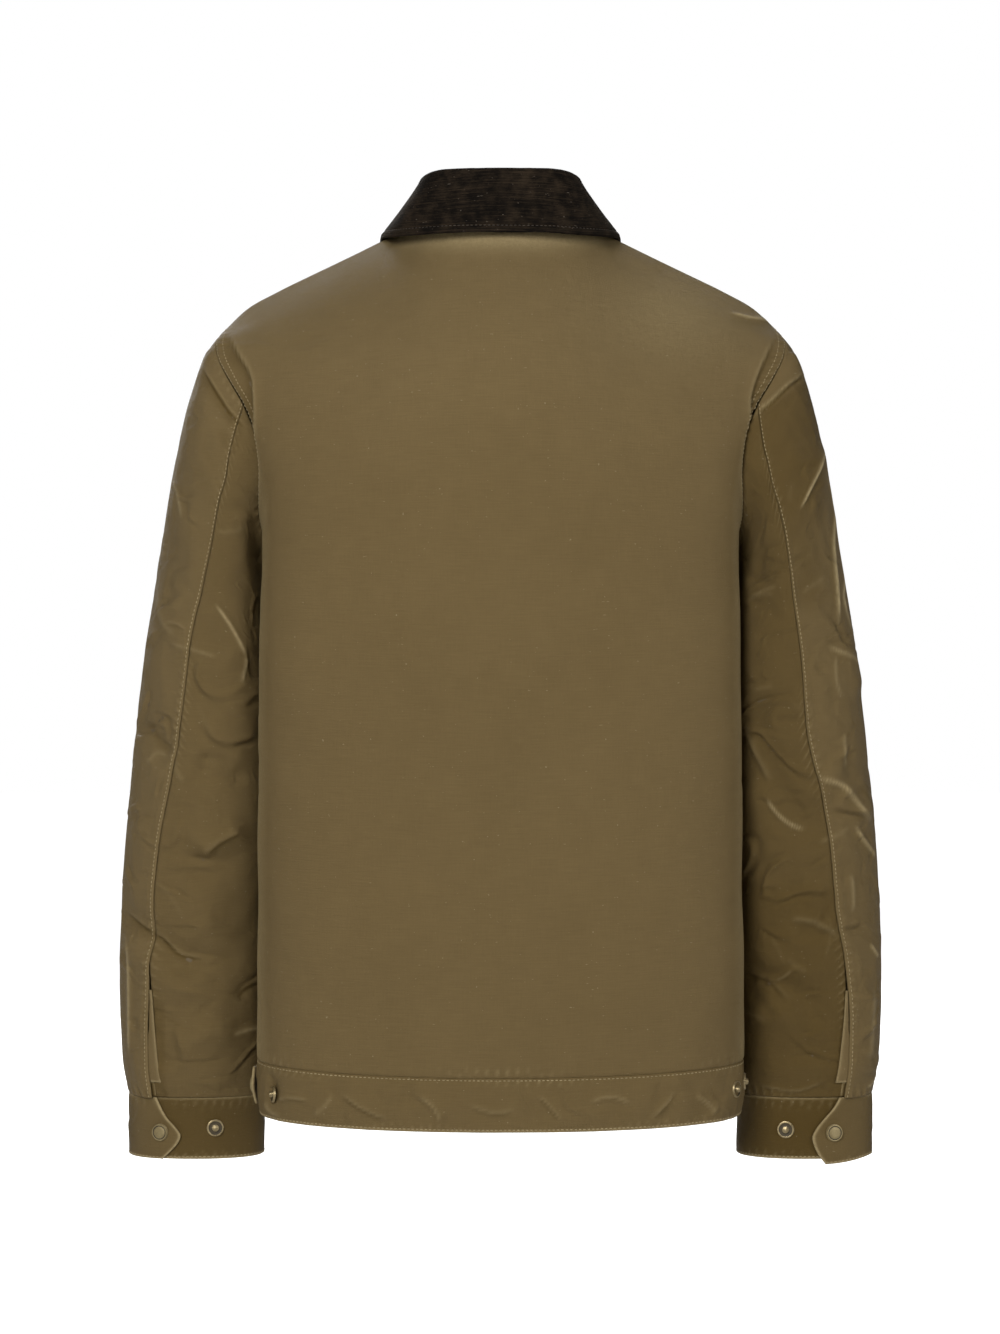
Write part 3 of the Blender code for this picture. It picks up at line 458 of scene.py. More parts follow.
def make_mesh(name: str, points: Array, faces: list, *materials: bpy.types.Material) -> bpy.types.Mesh:
    """Makes a smooth mesh.

    Args:
        name: its name.
        points: its points, in millimetres.
        faces: the numbers of each face's points.
        materials: its materials.

    Returns:
        The mesh.
    """
    mesh = bpy.data.meshes.new(name)
    mesh.from_pydata((points * MM).tolist(), [], faces)
    mesh.shade_smooth()
    for material in materials:
        mesh.materials.append(material)
    return mesh


def link(name: str, data: bpy.types.ID) -> bpy.types.Object:
    """Puts a mesh, a lamp or a camera into the scene as an object of that name."""
    item = bpy.data.objects.new(name, data)
    bpy.context.scene.collection.objects.link(item)
    return item


@dataclass
class Cloth:
    """A cloth wall: a fine grid of outer points that is pressed, sewn and given its thickness."""
    node: str
    grid: Array
    thickness: float
    finishings: tuple[Finishing, ...]
    rests_on: tuple[str, ...]
    held: Held = Held.HUNG
    slot: str = "waxed_cotton"
    inner_step: tuple[int, int] = (3, 3)
    layer_rise: ClassVar[float] = 0.45        # how far the layers under a border raise it
    stitch_depth: ClassVar[float] = 0.26      # how deep a row of stitches sinks

    def __post_init__(self) -> None:
        """Measures the cut cloth before it is pressed."""
        self.normals = grid_normals(self.grid)
        # Pale wear with painted highlight, and painted shade, for each point.
        self.rubbed = np.zeros(self.grid.shape[:2])
        self.shaded = np.zeros(self.grid.shape[:2])
        across = lengths_along(np.swapaxes(self.grid, 0, 1)).T
        upward = lengths_along(self.grid)
        self.flat = (max(NARROWEST, float(across[:, -1].max()) * MM), float(upward[-1].max()) * MM)
        one, two = np.diff(self.grid, axis=0)[:, :-1], np.diff(self.grid, axis=1)[:-1]
        self.area = float(np.linalg.norm(np.cross(one, two), axis=-1).sum()) * MM * MM
        self.from_border = {
            Border.FIRST: across, Border.LAST: across[:, -1:] - across,
            Border.BOTTOM: upward, Border.TOP: upward[-1:] - upward,
        }
        middle = across[:, across.shape[1] // 2:across.shape[1] // 2 + 1]
        self.spread_out = np.stack([across - middle, upward], axis=-1) * MM

    @property
    def facing(self) -> Array:
        """How much each point faces straight back or straight ahead, from 0 to 1."""
        return np.abs(self.normals[..., 1])

    def along_border(self, border: Border) -> Array:
        """Distance along a border, for each row or each column."""
        edge = {Border.FIRST: self.grid[:, 0], Border.LAST: self.grid[:, -1],
                Border.BOTTOM: self.grid[0], Border.TOP: self.grid[-1]}[border]
        return lengths_along(edge)

    def push(self, height: Array) -> None:
        """Moves every point along its normal by a height of its own."""
        self.grid = self.grid + self.normals * height[..., None]

    def rub(self, share: float | Array) -> None:
        """Paints the cloth pale, for wear of the wax and painted highlight, at least as much as a share."""
        self.rubbed = np.maximum(self.rubbed, share)

    def shade(self, share: float | Array) -> None:
        """Paints shade on the cloth, at least as much as a share."""
        self.shaded = np.maximum(self.shaded, share)

    def crease(self, creases: Iterable[Crease], side: Optional[Side] = None) -> None:
        """Presses creases into the cloth, paints shade in their troughs and pales their ridges for wear and
        painted highlight; a right sleeve's are read in left-hand place.
        """
        flip = np.array([-1.0 if side is Side.RIGHT else 1.0, 1.0, 1.0])
        height = np.zeros(self.grid.shape[:2])
        for one in creases:
            if one.side is side:
                added, rubbed, shaded = one.press(self.grid * flip, self.normals * flip)
                height += added
                self.rub(rubbed)
                self.shade(shaded)
        self.push(height * self.clear_of_seams(6.0))

    def clear_of_seams(self, reach: float) -> Array:
        """Rises from 0 at the sewn borders to 1 at a distance."""
        clear = np.ones(self.grid.shape[:2])
        for one in self.finishings:
            clear = np.minimum(clear, 0.25 + 0.75 * ease(self.from_border[one.border] / reach))
        return clear

    def finish_borders(self, seed: int) -> None:
        """Sinks the seams, raises the layers under them and puckers the cloth along them."""
        height = np.zeros(self.grid.shape[:2])
        for number, one in enumerate(self.finishings):
            away = self.from_border[one.border]
            along = self.along_border(one.border)
            share = along / along[-1]
            span = ease((share - one.start) / 0.02 + 0.5) * ease((one.stop - share) / 0.02 + 0.5)
            upright = one.border in (Border.FIRST, Border.LAST)
            span, travel = (span[:, None], along[:, None]) if upright else (span[None], along[None])
            if one.sewn:
                height -= span * one.groove * bell(away, 1.1)
            if one.allowance:
                layers = (1 - ease((away - one.allowance) / 2.5)) * ease(away / 1.5)
                height += span * self.layer_rise * layers
            for row in one.rows:
                dots = 0.75 + 0.25 * np.cos(2 * math.pi * travel / STITCH_PITCH)
                height -= span * self.stitch_depth * dots * bell(away - row, 0.8)
            if one.pucker:
                height += self.pucker(one, away, travel, span, seed + number)
            if one.worn:
                self.rub(span * one.worn * bell(away, 1.3))
        self.push(height)

    def pucker(self, one: Finishing, away: Array, travel: Array, span: Array, seed: int) -> Array:
        """Paints shade in the troughs and highlight on the crests of the small puckers along a border.

        Args:
            one: how the border is sewn.
            away: distance from the border.
            travel: distance along it.
            span: 1 where the puckers are and 0 elsewhere.
            seed: which puckers.

        Returns:
            The height that they add.
        """
        half = (max(one.rows, default=4.0) + 4.0) / 2
        chance = np.random.default_rng(seed)
        phase, lean = chance.uniform(0, 6.3), chance.uniform(0.25, 0.5)
        slant = travel + away * lean
        wave = np.sin(2 * math.pi * slant / 7.5 + phase + 1.7 * np.sin(slant / 23 + phase))
        wave = wave * (0.65 + 0.35 * np.sin(slant / 31 + 2 * phase))
        window = bell(away - half, half) * ease(-0.2 + 1.8 * self.facing)
        # Painted shade in the pucker troughs and painted highlight on their crests.
        self.shade(span * (min(0.8, one.pucker) * np.clip(-wave - 0.2, 0, 1)) * window)
        self.rub(span * np.clip(wave - 0.55, 0, 1) * window * 0.5)
        return span * one.pucker * wave * window

    def sew(self, stitcher: Stitcher) -> None:
        """Lays this piece's rows of stitches."""
        facing = grid_normals(self.grid)
        for one in self.finishings:
            away, lines, normals = self.from_border[one.border], self.grid, facing
            if one.border in (Border.BOTTOM, Border.TOP):
                away, lines, normals = (np.swapaxes(part, 0, 1) for part in (away, lines, normals))
            if one.border in (Border.LAST, Border.TOP):
                away, lines, normals = (part[:, ::-1] for part in (away, lines, normals))
            along = self.along_border(one.border)
            share = along / along[-1]
            kept = np.flatnonzero((share >= one.start) & (share <= one.stop))
            for row in one.rows:
                if len(kept) < 3 or row >= away[kept, -1].min():
                    continue
                path, facings = (np.array([[np.interp(row, away[i], part[i, :, k]) for k in range(3)]
                                           for i in kept]) for part in (lines, normals))
                stitcher.sew(path, facings)

    def build(self, outside: bpy.types.Material, inside: bpy.types.Material) -> None:
        rows, columns = self.grid.shape[:2]
        size = rows * columns
        rim = border_places(rows, columns)
        around = len(rim)
        inner = self.grid - self.normals * self.thickness
        free = {one.border for one in self.finishings if not one.sewn}
        middle = np.array([self.rim_point(place, inner, free) for place in rim])
        few = np.ix_(every(rows, self.inner_step[0]), every(columns, self.inner_step[1]))
        index = np.arange(size).reshape(rows, columns)
        inside_index = -np.ones((rows, columns), dtype=int)
        inside_index[few] = size + np.arange(index[few].size).reshape(index[few].shape)
        first = size + index[few].size
        faces = cells_of(index).tolist()
        outer_count = len(faces)
        faces += cells_of(inside_index[few])[:, ::-1].tolist()
        inner_end = len(faces)
        faces += [(int(index[rim[(k + 1) % around]]), int(index[rim[k]]), first + k, first + (k + 1) % around)
                  for k in range(around)]
        anchors = [k for k in range(around) if inside_index[rim[k]] >= 0]
        for k, following in zip(anchors, anchors[1:] + [around]):
            between = [first + m % around for m in range(following, k - 1, -1)]
            faces.append((*between, int(inside_index[rim[k]]), int(inside_index[rim[following % around]])))
        points = np.concatenate((self.grid.reshape(-1, 3), inner[few].reshape(-1, 3), middle))
        name = f"{self.node}_cloth"
        mesh = make_mesh(name, points, faces, outside, inside)
        slots = np.zeros(len(faces), dtype=np.int32)
        slots[outer_count:inner_end] = 1
        mesh.polygons.foreach_set("material_index", slots)
        rim_rows, rim_columns = np.array(rim).T
        # Stores the pale wear with painted highlight and the painted shade for the materials.
        for label, values in (("rubbed", self.rubbed), ("shaded", self.shaded)):
            stored = np.concatenate((values.ravel(), np.zeros(index[few].size), values[rim_rows, rim_columns]))
            layer = mesh.attributes.new(label, "FLOAT", "POINT")
            layer.data.foreach_set("value", stored.astype(np.float32))
        places = np.concatenate((self.spread_out.reshape(-1, 2), self.spread_out[few].reshape(-1, 2),
                                 self.spread_out[rim_rows, rim_columns]))
        corner = np.empty(len(mesh.loops), dtype=np.int32)
        mesh.loops.foreach_get("vertex_index", corner)
        layer = mesh.uv_layers.new(name="cloth")
        layer.data.foreach_set("uv", places[corner].astype(np.float32).ravel())
        item = link(name, mesh)
        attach(item, "root")
        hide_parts(self.node)
        LOG.info("%s: %d faces, %.0f x %.0f mm flat", name, len(faces), *(one / MM for one in self.flat))

    def finish(self, seed: int, stitches: Stitcher, finishes: "Finishes") -> None:
        """Finishes the borders, sews them and makes the piece of waxed cotton."""
        self.finish_borders(seed)
        self.sew(stitches)
        self.build(finishes.cotton, finishes.inside)

    def rim_point(self, place: tuple[int, int], inner: Array, free: set[Border]) -> Array:
        """The middle of the cloth's end face at a border point, rounded out on a free border."""
        row, column = place
        rows, columns = self.grid.shape[:2]
        ends = ((Border.BOTTOM, row == 0, (0, column), (1, column)),
                (Border.TOP, row == rows - 1, (-1, column), (-2, column)),
                (Border.FIRST, column == 0, (row, 0), (row, 1)),
                (Border.LAST, column == columns - 1, (row, -1), (row, -2)))
        out = sum((self.grid[edge] - self.grid[beside] for border, here, edge, beside in ends
                   if here and border in free), np.zeros(3))
        bulge = 0.3 * self.thickness if out.any() else 0.0
        return (self.grid[place] + inner[place]) / 2 + unit(out) * bulge


def every(count: int, step: int) -> list[int]:
    """Every few places of a row of them, and the last one."""
    return sorted({*range(0, count, step), count - 1})


def cells_of(index: Array) -> Array:
    """The four corners of each cell of a grid of point numbers, counterclockwise."""
    cells = np.stack([index[:-1, :-1], index[:-1, 1:], index[1:, 1:], index[1:, :-1]], axis=-1)
    return cells.reshape(-1, 4)


def border_places(rows: int, columns: int) -> list[tuple[int, int]]:
    """Places of a grid's border points, counterclockwise as seen from outside."""
    loop = [(0, j) for j in range(columns)]
    loop += [(i, columns - 1) for i in range(1, rows)]
    loop += [(rows - 1, j) for j in range(columns - 2, -1, -1)]
    return loop + [(i, 0) for i in range(rows - 2, 0, -1)]


# Materials.

class Graph:
    """A node tree, with short ways to add and join its nodes."""

    def __init__(self, tree: bpy.types.NodeTree) -> None:
        """Starts from a node tree."""
        self.tree = tree

    def feed(self, socket: bpy.types.NodeSocket, value: object) -> None:
        """Joins another socket to a socket, or sets it to a number or colour."""
        if isinstance(value, bpy.types.NodeSocket):
            self.tree.links.new(value, socket)
        else:
            socket.default_value = value

    def add(self, kind: str, settings: Optional[dict] = None, **inputs: object) -> bpy.types.Node:
        """Adds a node.

        Args:
            kind: its type, without the common prefix.
            settings: properties to set on it.
            inputs: a number, colour or socket for each input, by its name or its place after an i.

        Returns:
            The node.
        """
        node = self.tree.nodes.new("ShaderNode" + kind)
        for key, value in (settings or {}).items():
            setattr(node, key, value)
        for key, value in inputs.items():
            place = int(key[1:]) if key[1:].isdigit() else key.replace("_", " ")
            self.feed(node.inputs[place], value)
        return node

    def use(self, group: bpy.types.NodeTree, **inputs: object) -> bpy.types.NodeOutputs:
        """Adds a node group with its inputs set and gives its outputs."""
        return self.add("Group", {"node_tree": group}, **inputs).outputs

    def math(self, operation: str, one: object, two: object = 0.0, clamp: bool = False) -> object:
        """Adds a sum, product or other calculation and gives its value."""
        return self.add("Math", {"operation": operation, "use_clamp": clamp}, i0=one, i1=two).outputs[0]

    def weigh(self, *parts: tuple[object, float]) -> object:
        """Adds up values, each times its weight, and gives the sum."""
        total, *others = (self.math("MULTIPLY", value, weight) for value, weight in parts)
        for part in others:
            total = self.math("ADD", total, part)
        return total

    def blend(self, share: object, one: object, two: object) -> object:
        """Adds a mix of two colours and gives its colour."""
        return self.add("Mix", {"data_type": "RGBA"}, i0=share, i6=one, i7=two).outputs[2]

    def noise(self, vector: object, scale: float, detail: float = 2.0, rough: float = 0.5) -> object:
        """Adds a noise and gives its value."""
        return self.add("TexNoise", Vector=vector, Scale=scale, Detail=detail, Roughness=rough).outputs[0]

    def stretch(self, vector: object, x: float, y: float, z: float = 1.0) -> object:
        """Adds a mapping that scales a vector and gives the vector."""
        return self.add("Mapping", Vector=vector, Scale=(x, y, z)).outputs[0]

    def stored(self, name: str) -> object:
        """Adds a reading of a value stored on the mesh and gives it."""
        return self.add("Attribute", {"attribute_name": name}).outputs["Fac"]


class Group(Graph):
    """A node group in the making, with named inputs and outputs."""

    def __init__(self, name: str, inputs: dict[str, str], outputs: dict[str, str]) -> None:
        """Starts a group.

        Args:
            name: its name.
            inputs: name and kind of each input.
            outputs: name and kind of each output.
        """
        super().__init__(bpy.data.node_groups.new(name, "ShaderNodeTree"))
        for way, sockets in (("INPUT", inputs), ("OUTPUT", outputs)):
            for label, kind in sockets.items():
                self.tree.interface.new_socket(label, in_out=way, socket_type="NodeSocket" + kind)
        self.given = self.tree.nodes.new("NodeGroupInput").outputs
        self.results = self.tree.nodes.new("NodeGroupOutput").inputs

    def give(self, **results: object) -> bpy.types.NodeTree:
        """Joins the results to the group's outputs and gives the group."""
        for label, value in results.items():
            self.feed(self.results[label], value)
        return self.tree


class Effects:
    """The node groups that more than one material uses."""

    def __init__(self) -> None:
        """Builds every group once."""
        self.weave = self.make_weave()
        self.mottle = self.make_mottle()
        self.wear_and_painted_light = self.make_wear_and_painted_light()
        self.lint = self.make_lint()

    def make_weave(self) -> bpy.types.NodeTree:
        """A plain weave with thicker threads here and there."""
        group = Group("Plain weave", {"Vector": "Vector", "Threads": "Float"},
                      {"Height": "Float", "Slub": "Float"})
        vector = group.given["Vector"]
        split = group.add("SeparateXYZ", Vector=vector).outputs
        turns = group.math("MULTIPLY", group.given["Threads"], 2 * math.pi)
        warp, weft = (group.math("SINE", group.math("MULTIPLY", split[k], turns)) for k in (0, 1))
        across = group.noise(group.stretch(vector, 45, 1100), 1.0, 2.0, 0.6)
        upward = group.noise(group.stretch(vector, 1100, 60), 1.0, 2.0, 0.6)
        slub = group.weigh((across, 0.65), (upward, 0.35))
        crossing = group.math("MULTIPLY", group.math("MULTIPLY", warp, weft), 0.25)
        return group.give(Height=group.math("ADD", crossing, slub), Slub=slub)

    def make_mottle(self) -> bpy.types.NodeTree:
        """Soft clouds of lighter and darker cloth in two sizes."""
        group = Group("Mottle", {"Vector": "Vector", "Broad": "Float", "Fine": "Float"}, {"Value": "Float"})
        vector = group.given["Vector"]
        broad = group.noise(vector, group.given["Broad"], 3.0)
        fine = group.noise(vector, group.given["Fine"], 4.0)
        clouds = group.add("MapRange", Value=group.weigh((broad, 0.6), (fine, 0.4)),
                           From_Min=0.36, From_Max=0.64)
        return group.give(Value=clouds.outputs[0])

    def make_wear_and_painted_light(self) -> bpy.types.NodeTree:
        """Cloth painted pale on its ridges, for wear of the wax and painted highlight, and with painted shade
        in its hollows.
        """
        group = Group("Rubbed wax", {"Color": "Color", "Pale": "Color", "Deep": "Color", "Rubbed": "Float",
                                     "Shaded": "Float", "Breakup": "Float"}, {"Color": "Color", "Rub": "Float"})
        given = group.given
        patchy = group.math("MULTIPLY", given["Rubbed"], group.math("ADD", given["Breakup"], 0.35), clamp=True)
        deep = group.blend(given["Shaded"], given["Color"], given["Deep"])
        return group.give(Color=group.blend(patchy, deep, given["Pale"]), Rub=patchy)

    def make_lint(self) -> bpy.types.NodeTree:
        """Scattered specks and short hairs of lint."""
        group = Group("Lint", {"Vector": "Vector", "Scale": "Float", "Least": "Float", "Most": "Float",
                               "Share": "Float"}, {"Lint": "Float"})
        given = group.given
        specks = group.noise(given["Vector"], given["Scale"], 1.0, 0.5)
        hairs = group.noise(group.stretch(given["Vector"], 240, 240, 800), 1.0, 1.0, 0.5)
        lint = group.add("MapRange", Value=group.math("MAXIMUM", specks, hairs), From_Min=given["Least"],
                         From_Max=given["Most"], To_Max=given["Share"])
        return group.give(Lint=lint.outputs[0])


class Surface(Graph):
    """A material in the making."""

    def __init__(self, name: str, effects: Optional[Effects] = None) -> None:
        """Starts a material of a name that may use the shared effects."""
        self.material = bpy.data.materials.new(name)
        self.material.use_nodes = True
        super().__init__(self.material.node_tree)
        self.effects = effects
        self.shader = self.tree.nodes["Principled BSDF"]
        self.space = self.add("TexCoord").outputs["Object"]

    def cloth(self) -> object:
        """Gives the place across and up a piece's own cloth."""
        return self.add("UVMap", {"uv_map": "cloth"}).outputs[0]

    def mottle(self, broad: float, fine: float) -> object:
        """Gives clouds of two scales."""
        return self.use(self.effects.mottle, Vector=self.space, Broad=broad, Fine=fine)["Value"]

    def wear_and_painted_light(self, colour: object, pale: Colour, deep: Colour, breakup: object) -> bpy.types.NodeOutputs:
        """Paints pale wear with painted highlight and painted shade on a colour where the piece stores them,
        and gives the colour and the pale share.
        """
        return self.use(self.effects.wear_and_painted_light, Color=colour, Pale=pale, Deep=deep, Rubbed=self.stored("rubbed"),
                        Shaded=self.stored("shaded"), Breakup=breakup)

    def strew(self, colour: object, speck: Colour, **lint: float) -> object:
        """Strews lint over a colour and gives the colour."""
        return self.blend(self.use(self.effects.lint, Vector=self.space, **lint)["Lint"], colour, speck)

    def finish(self, relief: object, strength: float, **inputs: object) -> bpy.types.Material:
        """Completes the shader.

        Args:
            relief: the height of the bumps, in metres.
            strength: how strongly they show.
            inputs: a number, colour or socket for each input of the shader.

        Returns:
            The material.
        """
        for label, value in inputs.items():
            self.feed(self.shader.inputs[label.replace("_", " ")], value)
        bump = self.add("Bump", Strength=strength, Distance=1.0, Height=relief)
        self.feed(self.shader.inputs["Normal"], bump.outputs[0])
        return self.material


@dataclass(frozen=True)
class WaxedCotton:
    """Waxed cotton: a tight weave, clouded by the wax, painted pale on its ridges for wear and painted
    highlight, and with painted shade in its hollows.
    """
    light: Colour = (0.160, 0.112, 0.048, 1)
    dark: Colour = (0.128, 0.0885, 0.0365, 1)
    # The pale colour is for wear and painted highlight on ridges, the next one for painted shade in hollows.
    pale: Colour = (0.330, 0.255, 0.130, 1)
    deep: Colour = (0.072, 0.044, 0.010, 1)
    speck: Colour = (0.40, 0.34, 0.22, 1)
    sheen: Colour = (0.80, 0.66, 0.40, 1)
    threads: float = 1700.0
    roughness: float = 0.60
    worn_roughness: float = 0.52

    def make(self, effects: Effects) -> bpy.types.Material:
        """Makes the material."""
        made = Surface("Waxed cotton", effects)
        weave = made.use(effects.weave, Vector=made.cloth(), Threads=self.threads)
        mottle = made.mottle(9.0, 70.0)
        share = made.math("SUBTRACT", made.weigh((mottle, 0.45), (weave["Slub"], 2.0)), 0.75, clamp=True)
        breakup = made.math("MULTIPLY", made.noise(made.space, 380.0, 3.0, 0.7), 1.3)
        wear_and_painted_light = made.wear_and_painted_light(made.blend(share, self.dark, self.light), self.pale, self.deep, breakup)
        colour = made.strew(wear_and_painted_light["Color"], self.speck, Scale=430.0, Least=0.775, Most=0.80, Share=0.3)
        rough = made.math("ADD", made.math("MULTIPLY", mottle, 0.12), self.roughness - 0.06)
        worn = made.math("MULTIPLY", wear_and_painted_light["Rub"], self.worn_roughness - self.roughness)
        crumple = made.noise(made.space, 85.0, 5.0, 0.6)
        return made.finish(made.weigh((weave["Height"], 0.00055), (crumple, 0.0014)), 0.8, Base_Color=colour,
                           Roughness=made.math("ADD", rough, worn), Specular_IOR_Level=0.13,
                           Sheen_Weight=0.03, Sheen_Tint=self.sheen, Sheen_Roughness=0.5)


@dataclass(frozen=True)
class Reverse:
    """The plain inside of the cloth, duller than its face."""
    light: Colour = (0.105, 0.074, 0.036, 1)
    dark: Colour = (0.085, 0.059, 0.028, 1)
    threads: float = 1300.0

    def make(self, effects: Effects) -> bpy.types.Material:
        """Makes the material."""
        made = Surface("Cloth inside", effects)
        weave = made.use(effects.weave, Vector=made.cloth(), Threads=self.threads)
        colour = made.blend(made.mottle(12.0, 90.0), self.dark, self.light)
        return made.finish(made.weigh((weave["Height"], 0.0002)), 0.6, Base_Color=colour, Roughness=0.85)


@dataclass(frozen=True)
class Corduroy:
    """Brown needle corduroy whose nap lies this way and that."""
    light: Colour = (0.031, 0.021, 0.0125, 1)
    dark: Colour = (0.0035, 0.0026, 0.0018, 1)
    speck: Colour = (0.16, 0.13, 0.10, 1)
    # The painted shade in the channels between the wales.
    painted_channel_shade: Colour = (0.003, 0.002, 0.0014, 1)
    sheen: Colour = (0.55, 0.42, 0.28, 1)

    def make(self, effects: Effects) -> bpy.types.Material:
        """Makes the material."""
        made = Surface("Corduroy", effects)
        places = made.cloth()
        nap = made.noise(made.stretch(places, 350, 900), 1.0, 4.0, 0.7)
        streak = made.noise(made.stretch(places, 26, 1000), 1.0, 1.0, 0.5)
        share = made.weigh((made.mottle(26.0, 160.0), 0.75), (nap, 0.9), (streak, 1.3))
        base = made.blend(made.math("SUBTRACT", share, 1.30, clamp=True), self.dark, self.light)
        wear_and_painted_light = made.wear_and_painted_light(base, self.light, self.painted_channel_shade, nap)
        colour = made.strew(wear_and_painted_light["Color"], self.speck, Scale=520.0, Least=0.755, Most=0.79, Share=0.45)
        return made.finish(made.weigh((nap, 0.0005)), 0.6, Base_Color=colour, Roughness=0.95,
                           Specular_IOR_Level=0.07, Sheen_Weight=0.04, Sheen_Tint=self.sheen,
                           Sheen_Roughness=0.4)


@dataclass(frozen=True)
class Thread:
    """Sewing thread in the cloth's own colour."""
    name: str = "Thread"
    light: Colour = (0.350, 0.275, 0.145, 1)
    dark: Colour = (0.225, 0.170, 0.082, 1)

    def make(self, effects: Effects) -> bpy.types.Material:
        """Makes the material."""
        made = Surface(self.name, effects)
        colour = made.blend(made.mottle(40.0, 500.0), self.dark, self.light)
        twist = made.noise(made.space, 2600.0, 2.0, 0.6)
        return made.finish(made.weigh((twist, 0.0002)), 0.5, Base_Color=colour, Roughness=0.6)


@dataclass(frozen=True)
class AgedMetal:
    """Dull snap metal, tarnished unevenly; one of them is the dark painted shade in the snaps' hollows."""
    name: str
    light: Colour
    dark: Colour
    metallic: float
    roughness: float

    def make(self, effects: Effects) -> bpy.types.Material:
        """Makes the material."""
        made = Surface(self.name, effects)
        mottle = made.mottle(180.0, 900.0)
        rough = made.math("ADD", made.math("MULTIPLY", mottle, 0.16), self.roughness - 0.08)
        scratches = made.noise(made.stretch(made.space, 1, 1, 6), 1500.0, 3.0, 0.7)
        return made.finish(made.weigh((scratches, 0.00008)), 0.4, Roughness=rough, Metallic=self.metallic,
                           Base_Color=made.blend(mottle, self.dark, self.light))


class Finishes:
    """Every material of the jacket."""

    def __init__(self) -> None:
        """Makes them all."""
        effects = Effects()
        self.cotton = WaxedCotton().make(effects)
        self.inside = Reverse().make(effects)
        self.cord = Corduroy().make(effects)
        self.thread = Thread().make(effects)
        self.dark_thread = Thread("Collar thread", (0.06, 0.045, 0.03, 1),
                                  (0.03, 0.022, 0.015, 1)).make(effects)
        self.brass, self.tarnish, self.bronze = (AgedMetal(*row).make(effects) for row in (
            ("Snap brass", (0.25, 0.195, 0.092, 1), (0.18, 0.138, 0.064, 1), 0.45, 0.42),
            # Dark painted shade for the snaps' hollow rings.
            ("Tarnish", (0.060, 0.044, 0.020, 1), (0.035, 0.025, 0.011, 1), 0.3, 0.60),
            ("Stud bronze", (0.36, 0.285, 0.155, 1), (0.21, 0.16, 0.08, 1), 0.75, 0.32),
        ))


# The body.

